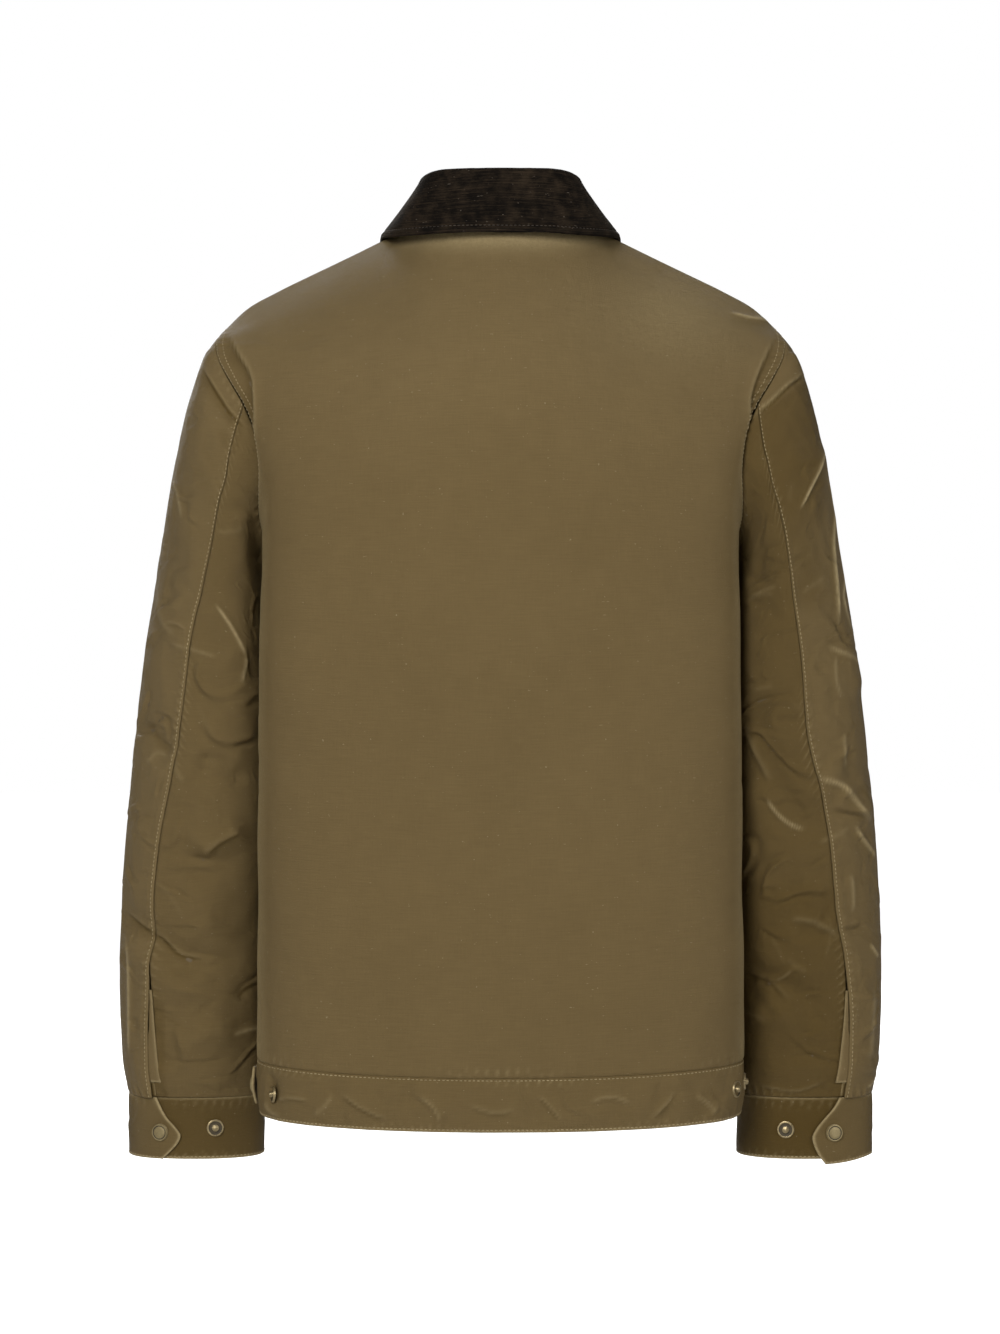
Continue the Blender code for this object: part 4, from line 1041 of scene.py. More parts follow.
@dataclass
class BodyCut:
    """The form of the back, the fronts and the hem band."""
    underarm_z: float = -250.0
    underarm_row_z: float = -268.0
    top_row_z: float = -290.0
    row_dip: float = 40.0
    hem_seam_z: float = -650.0
    hem_z: float = -690.0
    hem_seam_lift: float = 7.0
    hem_edge_lift: float = 5.3
    hem_taper: float = 2.5
    neck_half_width: float = 75.0
    neck_side_y: float = 8.0
    neck_depth: tuple[float, float] = (60.0, 72.0)
    neck_drop: tuple[float, float] = (6.0, 70.0)
    dent_spread: float = 57.0
    dent_fade: float = 0.5
    squareness: float = 3.0
    columns: int = 12
    shoulder_columns: int = 6
    armhole_rows: int = 12
    body_rows: int = 10
    band_rows: int = 2
    samples: int = 180
    smoothing_rounds: int = 4
    smoothed_row: int = 18        # the first row that is smoothed across too
    sections: Table = (
        (-690, 195, 18, -25), (-650, 195, 18, -25), (-500, 199, 24, -12), (-400, 202, 30, -4),
        (-300, 204, 35, 0), (-268, 205, 35, 0), (-250, 205, 31, 0),
    )
    centre_back: Table = (
        (-690, 120), (-650, 121), (-550, 119), (-400, 120), (-250, 122), (-200, 121), (-150, 117),
        (-100, 109), (-60, 97), (-30, 84), (-6, 68),
    )
    centre_front: Table = (
        (-690, -118), (-650, -119), (-550, -120), (-400, -122), (-250, -121), (-190, -116),
        (-140, -104), (-100, -87), (-70, -64),
    )
    shoulder_seam: Table = (
        (219, -4, -82), (212, -3, -71), (187, -1, -54), (156, 1, -38.5), (106, 5, -15), (75, 8, 0),
    )

    def centre(self, face: Face) -> Table:
        """The centre line of a face, seen from the side."""
        return self.centre_back if face is Face.BACK else self.centre_front

    def section(self, z: float, face: Face) -> Array:
        """Quarter of a level section on the left, from the side seam to the centre line."""
        turn = np.linspace(0.0, math.pi / 2, self.samples + 1)
        power = 2 / self.squareness
        taper = self.hem_taper * max(0.0, (self.hem_seam_z - z) / (self.hem_seam_z - self.hem_z))
        x = (read(self.sections, 1, z) - taper) * signed_power(np.cos(turn), power)
        y = read(self.centre(face), 1, z) * signed_power(np.sin(turn), power)
        offset = (y - read(self.sections, 3, z)) / self.dent_spread
        x = x - read(self.sections, 2, z) * np.exp(-offset ** 2) * np.cos(turn) ** self.dent_fade
        points = np.stack([x, y, np.full_like(x, z)], axis=1)
        points[-1, 0] = 0.0
        return points

    def uneven_row(self, levels: Array, face: Face, from_y: float = 0.0) -> Array:
        """A row whose columns have levels of their own, from the side or from_y to the centre."""
        row = []
        for column, z in enumerate(levels):
            points = self.section(float(z), face)
            row.append(spread(points[np.abs(points[:, 1]) >= from_y], self.columns)[column])
        return np.stack(row)

    def hem_rise(self) -> Array:
        """How much of its side lift the hem still has on its way to the centre line."""
        return (1 - np.linspace(0, 1, self.columns + 1) ** 1.5) ** 2

    def body_row(self, edge_z: float, face: Face, from_y: float = 0.0) -> Array:
        """A row that follows the hem's lift at its foot and dips to the centre at its top."""
        share = (edge_z - self.hem_seam_z) / (self.underarm_z - self.hem_seam_z)
        dip = 1 - (1 - np.linspace(0, 1, self.columns + 1)) ** 3
        levels = edge_z + self.hem_seam_lift * (1 - share) * self.hem_rise() - self.row_dip * share * dip
        return self.uneven_row(levels, face, from_y)

    def neckline(self, face: Face, q: Array) -> Array:
        """Points of the left half of the neck seam, from the side neck point to the centre."""
        turn = np.asarray(q) * math.pi / 2
        place = 0 if face is Face.BACK else 1
        x = np.where(np.asarray(q) >= 1.0, 0.0, self.neck_half_width * np.cos(turn))
        y = self.neck_side_y + face.value * self.neck_depth[place] * np.sin(turn)
        return np.stack([x, y, -self.neck_drop[place] * np.sin(turn) ** 2], axis=-1)

    def top_edge(self, face: Face) -> Array:
        """The shoulder seam and then the neck seam, from the shoulder tip to the centre line."""
        x = np.linspace(self.shoulder_seam[0][0], self.shoulder_seam[-1][0], self.samples)
        seam = np.stack([x, read(self.shoulder_seam, 1, x), read(self.shoulder_seam, 2, x)], axis=1)
        neck = self.neckline(face, np.linspace(0, 1, self.columns - self.shoulder_columns + 1))
        return np.concatenate((spread(seam, self.shoulder_columns), neck[1:]))

    def upper(self, face: Face, armhole: Array) -> Array:
        """The left half from the underarm to the shoulder, blended between its four edges."""
        t = np.linspace(0, 1, self.armhole_rows + 1)
        s = np.linspace(0, 1, self.columns + 1)[None, :, None]
        centre = self.centre(face)
        foot = self.underarm_z - self.row_dip
        centre_z = foot + (centre[-1][0] - foot) * t
        centre_line = np.stack([0 * t, read(centre, 1, centre_z), centre_z], axis=1)
        from_y = np.abs(np.where(t < 0.5, armhole[:, 1], armhole[len(t) // 2, 1]))
        bottom = np.stack([self.body_row(self.underarm_z, face, y) for y in from_y])
        top = self.top_edge(face)
        t = t[:, None, None]
        across = (1 - s) * armhole[:, None] + s * centre_line[:, None]
        bottom_bulge = bottom - (1 - s) * bottom[:, :1] - s * bottom[:, -1:]
        top_bulge = top[None] - (1 - s) * top[0] - s * top[-1]
        weight = t ** 2.5
        return across + (1 - weight) * bottom_bulge + weight * top_bulge

    def quarter(self, face: Face, sleeve: "SleeveCut") -> Array:
        """Coarse grid of the left half of the back or front, from the side to the centre line."""
        levels = np.linspace(self.hem_seam_z, self.top_row_z, self.body_rows)
        lower = np.stack([self.body_row(z, face) for z in (*levels, self.underarm_row_z)])
        turn = 180 - face.value * 180 * np.linspace(0, 1, self.armhole_rows + 1)
        armhole = sleeve.ring(np.zeros(self.armhole_rows + 1), turn)
        grid = np.concatenate((lower, self.upper(face, armhole)))
        across = slice(self.smoothed_row, -1)
        for _ in range(self.smoothing_rounds):
            grid[1:-1, 1:] = grid[1:-1, 1:] / 2 + (grid[:-2, 1:] + grid[2:, 1:]) / 4
            beside = grid[across, :-2] + grid[across, 2:]
            grid[across, 1:-1] = grid[across, 1:-1] / 2 + beside / 4
        return grid

    def band_quarter(self, face: Face) -> Array:
        """Coarse grid of the left half of the hem band's back or front."""
        lower = self.hem_z + self.hem_edge_lift * self.hem_rise()
        upper = self.hem_seam_z + self.hem_seam_lift * self.hem_rise()
        shares = np.linspace(0, 1, self.band_rows + 1)
        return np.stack([self.uneven_row(lower + (upper - lower) * one, face) for one in shares])

    def refine(self, coarse: Array, pitch: float) -> Array:
        """Divides a body grid finely and keeps its corners at the underarm and the neck.

        Args:
            coarse: a quarter's grid, or a whole back's.
            pitch: millimetres between points.

        Returns:
            The fine grid.
        """
        rows, columns = coarse.shape[:2]
        neck = self.shoulder_columns
        wanted = fine_places(coarse[self.armhole_rows], pitch)
        sharp = ease(1 - (rows - 1 - np.arange(rows)) / 2.0)
        grid, edge = smooth_across(coarse, wanted, neck, sharp), wanted
        if columns > self.columns + 1:
            right = smooth_across(coarse, wanted, columns - 1 - neck, sharp)
            grid = np.where((wanted <= self.columns)[:, None], grid, right)
            edge = np.minimum(wanted, columns - 1 - wanted)
        upward = fine_places(coarse[:, min(columns - 1, self.columns)], pitch)
        return smooth_lines(grid, upward, rows - 1 - self.armhole_rows, ease(1 - edge / 2.0))


# The sleeves.

# For each sleeve and face: the two ends, bow, width and rise of each broad fold.
FOLDS = {
    (Side.LEFT, Face.BACK): (
        (225, -292, 198, -336, 4, 13, 3.5), (284, -384, 254, -407, -3, 11, -4.0),
        (232, -418, 196, -432, 3, 11, -4.0), (234, -484, 200, -468, -2, 12, 4.0),
        (238, -503, 202, -487, -2, 11, -3.5), (297, -530, 228, -572, -5, 12, -5.5),
        (290, -556, 236, -592, -4, 13, 4.0), (250, -640, 210, -624, 0, 15, 3.5),
    ),
    (Side.LEFT, Face.FRONT): (
        (282, -372, 236, -398, 4, 12, -5.0), (262, -420, 206, -404, -4, 13, 4.0),
        (286, -478, 214, -452, 5, 12, -5.0), (290, -560, 226, -596, 3, 13, -4.5),
        (232, -262, 200, -318, 5, 14, 3.5),
    ),
    (Side.RIGHT, Face.BACK): (
        (254, -172, 232, -224, 4, 12, 3.5), (262, -325, 283, -358, 3, 12, 3.5),
        (198, -366, 203, -415, 3, 11, -3.5), (200, -412, 242, -473, 4, 12, -4.5),
        (250, -426, 288, -459, 3, 12, 4.5), (190, -580, 247, -611, -4, 12, -5.5),
        (200, -604, 250, -634, -4, 13, 3.5), (276, -676, 296, -656, 0, 10, -2.5),
    ),
    (Side.RIGHT, Face.FRONT): (
        (286, -390, 232, -408, -4, 12, -5.0), (210, -428, 270, -446, 4, 13, 4.0),
        (290, -492, 220, -470, 5, 12, -5.0), (222, -572, 288, -600, -3, 13, -4.5),
    ),
}


@dataclass
class SleeveCut:
    """The form of a sleeve, in left-hand place."""
    squareness: float = 2.2
    ease_t: float = 0.04
    tip_y: float = -4.0
    rear_column: float = 5.0
    front_column: float = 15.0
    columns: int = 24
    rows: int = 24
    vent_top: float = 0.82
    vent_open: float = 0.10
    vent_lift: float = 3.6
    rings: Table = (
        (0.00, 219, -82, 174, -250, -2, 60, 9), (0.04, 229.5, -97, 180.5, -261, -2, 64, 6),
        (0.08, 238, -117, 183, -275, -2, 67, 3), (0.14, 246, -143, 183, -300, -1, 69, 0),
        (0.24, 256.5, -192, 181.5, -340, 0, 69, 0), (0.36, 267, -258, 180.5, -388, 0, 66, 0),
        (0.50, 279.5, -337, 181, -445, -2, 62, 0), (0.64, 290, -427, 184, -508, -8, 57, 0),
        (0.78, 298.5, -520, 187, -573, -15, 52, 0), (0.90, 301, -601, 188, -631, -21, 47, 0),
        (0.96, 299.5, -648, 187.5, -660, -24, 43, 0), (1.00, 294.5, -678.5, 187, -678.5, -25, 39.5, 0),
    )
    rear_seam: Table = (
        (0.00, 75, 75), (0.05, 83, 88), (0.10, 89, 92), (0.20, 87, 89), (0.30, 82, 87),
        (0.40, 76, 85), (0.50, 75, 86), (0.60, 71, 80), (0.68, 65, 75), (0.76, 63, 74),
        (0.84, 63, 67), (1.00, 58, 62),
    )

    def ring(self, t: Array, turn: Array) -> Array:
        """Points of the sleeve at places along it and angles from its outer side, back first."""
        outer_x, outer_z, inner_x, inner_z, y, depth, hollow = (read(self.rings, k, t) for k in range(1, 8))
        turn = np.radians(turn)
        cos = signed_power(np.cos(turn), 2 / self.squareness)
        sin = signed_power(np.sin(turn), 2 / self.squareness)
        middle_x = (outer_x + inner_x) / 2
        middle_z = (outer_z + inner_z) / 2
        x = middle_x + (outer_x - middle_x) * cos - hollow * sin ** 2 * (1 - 4 * cos ** 2)
        z = middle_z + (outer_z - middle_z) * cos
        armhole_y = (1 + cos) / 2 * self.tip_y
        middle_y = y + ease(1 - t / self.ease_t) * (armhole_y - y)
        return np.stack([x, middle_y + depth * sin, z], axis=-1)

    def points(self, side: Side, t: Array, columns: Array) -> Array:
        """Points of a sleeve at places along it and at columns, where one of them is the rear seam."""
        rear = read(self.rear_seam, 1 if side is Side.LEFT else 2, t)
        corners = np.array([0.0, self.rear_column, self.columns / 2, self.columns])
        turn = np.stack([np.interp(np.mod(columns, self.columns), corners, (0.0, one, 180.0, 360.0))
                         for one in rear])
        return self.ring(np.repeat(t[:, None], len(columns), axis=1), turn)

    def fold_height(self, side: Side, points: Array, normals: Array) -> Array:
        """How far the broad folds push each point outward."""
        height = np.zeros(points.shape[:-1])
        folds = [(face, *row) for (owner, face), rows in FOLDS.items() if owner is side for row in rows]
        for face, x0, z0, x1, z1, bow, width, rise in folds:
            run = np.array([x1 - x0, z1 - z0])
            length = np.linalg.norm(run)
            offset = points[..., (0, 2)] - (x0, z0)
            along = offset @ run / length ** 2
            across = (offset[..., 0] * run[1] - offset[..., 1] * run[0]) / length
            across = across - bow * 4 * along * (1 - along)
            ends = ease((along + 0.18) / 0.36) * ease((1.18 - along) / 0.36)
            shown = ease(0.2 + 1.5 * face.value * normals[..., 1])
            height += rise * bell(across, width) * ends * shown
        return height


# Creases that were placed one by one, and the smaller ones between them.

# For each sleeve, or the body, and each face: the path, width, rise, drop and pale wear with painted highlight
# of each crease.
CREASE_ROWS = {
    (Side.LEFT, Face.BACK): (
        (((231, -108), (216, -132), (204, -149), (190, -160)), 3, 0.9, 3.2, 0.2),
        (((216, -157), (210, -168), (205, -176), (199, -180)), 5, -1.5),
        (((232, -169), (224, -180), (213, -199)), 5, -0.9),
        (((217, -228), (206, -223), (190, -217)), 5, -1.7),
        (((212, -234), (202, -230), (190, -225)), 6, 1.2),
        (((219, -293), (212, -302), (204, -315), (194, -336)), 3, 1.5, 0.7, 0.8),
        (((261, -312), (252, -308), (240, -314)), 3, 0.8, 0.9, 0.2),
        (((256, -194), (248, -213), (245, -230)), 2.2, 0.7, 0, 0.5),
        (((277, -383), (269, -393), (261, -403), (251, -406)), 4, -2.0),
        (((275, -418), (269, -412), (264, -408), (256, -412)), 4, 1.0, 0, 0.2),
        (((235, -419), (225, -427), (203, -428), (193, -430)), 5, -1.5),
        (((229, -489), (221, -480), (212, -474), (198, -468)), 6, 2.0, 2.4, 0.1),
        (((296, -530), (278, -542), (261, -552), (248, -564), (227, -567)), 4, 1.1, 3.0, 0.2),
        (((254, -577), (242, -580), (230, -582), (219, -587), (213, -584)), 4, -1.4),
        (((244, -635), (233, -629), (224, -623), (211, -621)), 7, 1.6),
        (((295, -550), (291, -565), (290, -595), (291, -651)), 2.5, 1.3, 0, 0.9),
        (((212, -498), (210, -522), (211, -555), (212, -589)), 11, -2.2),
        (((241, -668), (222, -660), (203, -650)), 7, 1.2),
    ),
    (Side.RIGHT, Face.BACK): (
        (((191, -152), (209, -136), (221, -125), (240, -112)), 2.6, 0.9, 4.4, 0.5),
        (((214, -158), (228, -200), (236, -262), (240, -320)), 19, -3.0),
        (((200, -180), (199, -230), (203, -300), (206, -350)), 12, -3.0),
        (((206, -400), (214, -440), (226, -500), (232, -560)), 16, -2.2),
        (((244, -606), (240, -630), (238, -655)), 11, -2.6),
        (((253, -170), (248, -186), (239, -205), (229, -223)), 2.4, 1.7, -1.6, 1.4),
        (((250, -191), (260, -216), (258, -248), (261, -296), (259, -315)), 2.2, 1.5, 1.2, 1.3),
        (((254, -185), (262, -232), (268, -270), (266, -290), (277, -321)), 2.0, 1.3, 0, 1.2),
        (((250, -325), (260, -330), (277, -338), (282, -356)), 3, 1.6, 0.8, 0.8),
        (((258, -333), (258, -352), (264, -367)), 3, 0.9, 0, 0.4),
        (((264, -392), (265, -406), (266, -421)), 3, 1.1, 0, 0.5),
        (((209, -383), (219, -384), (231, -383)), 3, -1.9),
        (((189, -385), (195, -404), (204, -423), (209, -432)), 6, 2.2, 2.6, 0.2),
        (((204, -442), (212, -454), (223, -463), (236, -468)), 3, 1.7, 1.3, 0.9),
        (((240, -427), (253, -430), (265, -435), (275, -447), (291, -464)), 4, 1.9, 1.1, 0.9),
        (((274, -464), (282, -477), (295, -492)), 2.5, 1.9, 0.8, 1),
        (((271, -501), (273, -517), (273, -534)), 3.5, 1.1, 0, 0.5),
        (((222, -538), (236, -538), (250, -543), (264, -553)), 6, 2.0, 2.2, 0.2),
        (((288, -558), (296, -570)), 2.2, 1.5, 0.6, 1),
        (((190, -581), (201, -583), (212, -588), (222, -598), (228, -600)), 4, 1.0, 3.4, 0.1),
        (((192, -600), (201, -602), (207, -610), (211, -618)), 5, -2.2),
        (((199, -669), (212, -671), (230, -673), (246, -668), (255, -664)), 3, 1.2, 1.6, 0.2),
        (((287, -671), (294, -668), (298, -661)), 2.5, 1.3, 0.8, 0.9),
        (((292, -590), (291, -618), (289, -652)), 5, 1.5, 0, 0.4),
        (((191, -254), (194, -265), (192, -279)), 7, -3.0),
        (((186, -288), (197, -296), (208, -302), (219, -311)), 6, -2.3),
    ),
    (None, Face.BACK): (
        (((214, -78), (201, -101), (192, -116), (189, -132), (186, -190)), 4.4, 1.3, 4.0, 0.4),
        (((-216, -80), (-201, -108), (-192, -132), (-190, -153), (-185, -200)), 4.4, 1.3, -4.0, 0.4),
        (((-176, -66), (-194, -70), (-209, -71), (-217, -81)), 2.6, 1.4, 0.9, 1.3),
    ),
    (Side.LEFT, Face.FRONT): (
        (((228, -118), (214, -140), (203, -158), (192, -170)), 5, 1.2, 2.4, 0.2),
        (((190, -236), (208, -232), (226, -240)), 5, -1.6),
        (((284, -372), (266, -384), (240, -394)), 4, 1.2, 2.6, 0.3),
        (((204, -402), (226, -412), (252, -414)), 5, 1.6, 2.0, 0.3),
        (((288, -476), (262, -462), (228, -456)), 4, 1.4, 2.8, 0.3),
        (((200, -500), (216, -516), (240, -520)), 4, 1.2, 1.4, 0.4),
        (((292, -558), (264, -576), (232, -592)), 4, 1.2, 3.0, 0.3),
        (((200, -640), (226, -632), (252, -640)), 6, 1.6),
    ),
    (Side.RIGHT, Face.FRONT): (
        (((230, -120), (216, -142), (202, -156)), 5, 1.1, -2.4, 0.2),
        (((262, -226), (266, -262), (264, -300)), 3, 1.2, 0, 0.7),
        (((286, -388), (262, -402), (234, -406)), 4, 1.3, -2.8, 0.3),
        (((206, -424), (236, -438), (268, -448)), 5, 1.6, -1.8, 0.4),
        (((290, -492), (256, -478), (222, -472)), 4, 1.2, -2.8, 0.3),
        (((220, -570), (250, -590), (288, -602)), 4, 1.2, -3.0, 0.3),
        (((202, -648), (230, -640), (256, -650)), 6, 1.4),
    ),
    (None, Face.FRONT): (
        (((192, -120), (176, -150), (166, -190)), 7, 2.0, -1.4),
        (((-190, -124), (-172, -156), (-164, -196)), 7, 1.8, 1.4),
        (((150, -300), (110, -322), (60, -330)), 8, 1.4, 1.2),
        (((-156, -330), (-118, -350), (-70, -352)), 8, 1.4, -1.2),
        (((158, -560), (130, -590), (96, -612)), 8, 1.5, -1.3),
        (((-150, -574), (-120, -600), (-84, -616)), 8, 1.5, 1.3),
    ),
}
CREASES = tuple(Crease(*owner, *row) for owner, rows in CREASE_ROWS.items() for row in rows)

BAND_CREASES = tuple(Crease(None, Face.BACK, *row) for row in (
    (((179, -649), (173, -659), (170, -674)), 2.4, -2.4),
    (((171, -671), (159, -668), (144, -669)), 3.0, 1.4, 1.2, 0.3),
    (((178, -672), (176, -679), (166, -684)), 3.4, 1.6, 0, 0.4),
    (((121, -661), (101, -674), (82, -681)), 4.0, 1.2, 1.8, 0.2),
    (((141, -680), (131, -671), (126, -662)), 4.4, 1.6, 0, 0.2),
    (((62, -663), (50, -672), (46, -683)), 4.2, 1.6, 1.6, 0.3),
    (((24, -668), (6, -675), (-12, -672)), 4.8, 1.0, 1.7, 0.2),
    (((-28, -661), (-38, -672), (-46, -682)), 3.6, 1.3, 1.6, 0.2),
    (((-66, -668), (-84, -664), (-98, -671)), 4.0, 1.6, 1.3, 0.3),
    (((-112, -681), (-124, -670), (-131, -660)), 4.0, 1.3, 1.6, 0.2),
    (((-146, -664), (-158, -674), (-164, -682)), 3.4, 1.5, 1.1, 0.3),
))


@dataclass(frozen=True)
class SmallCreases:
    """Faint short creases strewn over a sleeve, the same on every run."""
    seed: int
    count: int
    low: float = -640.0
    high: float = -150.0

    def strew(self, side: Side) -> list[Crease]:
        """Makes the creases of one sleeve."""
        chance = np.random.default_rng(self.seed)
        made = []
        for _ in range(self.count):
            face = Face.BACK if chance.uniform() < 0.5 else Face.FRONT
            x, z = chance.uniform(192, 292), chance.uniform(self.low, self.high)
            angle, length = chance.normal(0.0, 0.7), chance.uniform(14, 44)
            if chance.uniform() < 0.3:
                angle += math.pi / 2
            way = np.array([math.cos(angle), math.sin(angle)]) * length / 2
            bow = np.array([-way[1], way[0]]) * chance.normal(0.0, 0.22)
            middle = np.array([x, z])
            path = tuple(tuple(float(v) for v in one) for one in (middle - way, middle + bow, middle + way))
            width, rise = chance.uniform(2.0, 5.4), chance.normal(0.0, 0.55)
            made.append(Crease(side, face, path, width, rise, rise * chance.uniform(-1, 1),
                               max(0.0, rise) * chance.uniform(0.0, 0.5)))
        return made


@dataclass
class BodyPieces:
    """The back, the fronts and the hem band."""
    cut: BodyCut
    sleeve: SleeveCut
    finishes: Finishes
    cloth: float = 1.6
    double: float = 2.4
    back_pitch: float = 2.4
    front_pitch: float = 3.4
    band_pitch: float = 2.2
    seam_stop: float = 0.67
    armhole_start: float = 0.68

    def build(self) -> None:
        """Builds the six pieces and their stitching."""
        quarters = {face: self.cut.quarter(face, self.sleeve) for face in Face}
        sides = (Border.FIRST, Border.LAST)
        seams = [Finishing(one, stop=self.seam_stop, pucker=0.15) for one in sides]
        holes = [Finishing(one, rows=(1.3, 6.2), start=self.armhole_start, allowance=7.5, pucker=0.95,
                           groove=1.2) for one in sides]
        ends = (Finishing(Border.BOTTOM, pucker=0.4, groove=0.9),
                Finishing(Border.TOP, groove=0.4, pucker=0.12))
        stitches = Stitcher()
        back = self.cut.refine(whole(quarters[Face.BACK]), self.back_pitch)
        left = self.cut.refine(quarters[Face.FRONT], self.front_pitch)[:, ::-1]
        self.panel("back", back, (*seams, *holes, *ends), 11, stitches)
        self.panel("front_left", left, (seams[1], holes[1], *ends), 13, stitches)
        self.panel("front_right", mirror(left), (seams[0], holes[0], *ends), 12, stitches)
        for name, face, side in (("back", Face.BACK, None), ("front_left", Face.FRONT, Side.LEFT),
                                 ("front_right", Face.FRONT, Side.RIGHT)):
            self.band(name, face, side, stitches)
        stitches.build("body_stitching", self.finishes.thread)

    def panel(self, node: str, grid: Array, finishings: tuple[Finishing, ...], seed: int,
              stitches: Stitcher) -> None:
        """Builds the back or a front.

        Args:
            node: the solid that it stands for.
            grid: points of its outer face.
            finishings: how its borders are sewn.
            seed: which waves and puckers it has.
            stitches: what lays its stitches.
        """
        cloth = Cloth(node, grid, self.cloth, finishings, ("collar",))
        waves = 0.6 * slow_waves(cloth.grid, seed, 90.0) + Wrinkles(seed, 70.0, 0.30).height(cloth.grid)
        cloth.push(waves * cloth.clear_of_seams(14.0))
        cloth.crease(CREASES)
        x, z = cloth.grid[..., 0], cloth.grid[..., 2]
        # Painted highlight: pale where the back turns to its sides, just under the collar's edge against the
        # collar's shadow, and on the right shoulder.
        side_highlight = np.clip(1 - cloth.facing / 0.6, 0, 1) * (z < -110)
        collar_highlight = bell(np.maximum(cloth.from_border[Border.TOP] - 8, 0), 12)
        right_shoulder_highlight = np.exp(-(((x + 140) / 55) ** 2 + ((z + 62) / 40) ** 2))
        cloth.rub(0.75 * side_highlight)
        cloth.rub(0.65 * collar_highlight * ease((96 - np.abs(x)) / 22))
        cloth.rub(0.26 * right_shoulder_highlight)
        # Painted shade, darker towards the bottom.
        cloth.shade(0.22 * ease((-70 - z) / 170))
        cloth.finish(seed * 7, stitches, self.finishes)

    def band(self, name: str, face: Face, side: Optional[Side], stitches: Stitcher) -> None:
        """Builds one piece of the hem band.

        Args:
            name: the piece of the body that it is sewn to.
            face: the face that it is on.
            side: the side of a front's band, and nothing for the back's.
            stitches: what lays its stitches.
        """
        quarter = self.cut.band_quarter(face)
        coarse = quarter if side else whole(quarter)
        grid = smooth_across(coarse, fine_places(coarse[0], self.band_pitch))
        grid = smooth_lines(grid, fine_places(coarse[:, 0], self.band_pitch))
        if side:
            grid = side.place(grid[:, ::-1])
        finishings = (
            Finishing(Border.TOP, rows=(1.6,), pucker=0.5, groove=1.0),
            Finishing(Border.BOTTOM, rows=(1.4,), sewn=False, pucker=0.4, worn=0.5),
        )
        cloth = Cloth(f"band_{name}", grid, self.double, finishings, (name,))
        puff = 0.9 * np.sin(math.pi * cloth.from_border[Border.BOTTOM] / (cloth.flat[1] / MM))
        waves = 0.8 * slow_waves(cloth.grid, 31, 40.0) + Wrinkles(33, 40.0, 1.2, cover=0.45).height(cloth.grid)
        cloth.push(puff + waves * cloth.clear_of_seams(9.0))
        cloth.crease(BAND_CREASES)
        # Painted shade over the whole band.
        cloth.shade(0.28)
        cloth.finish(61, stitches, self.finishes)


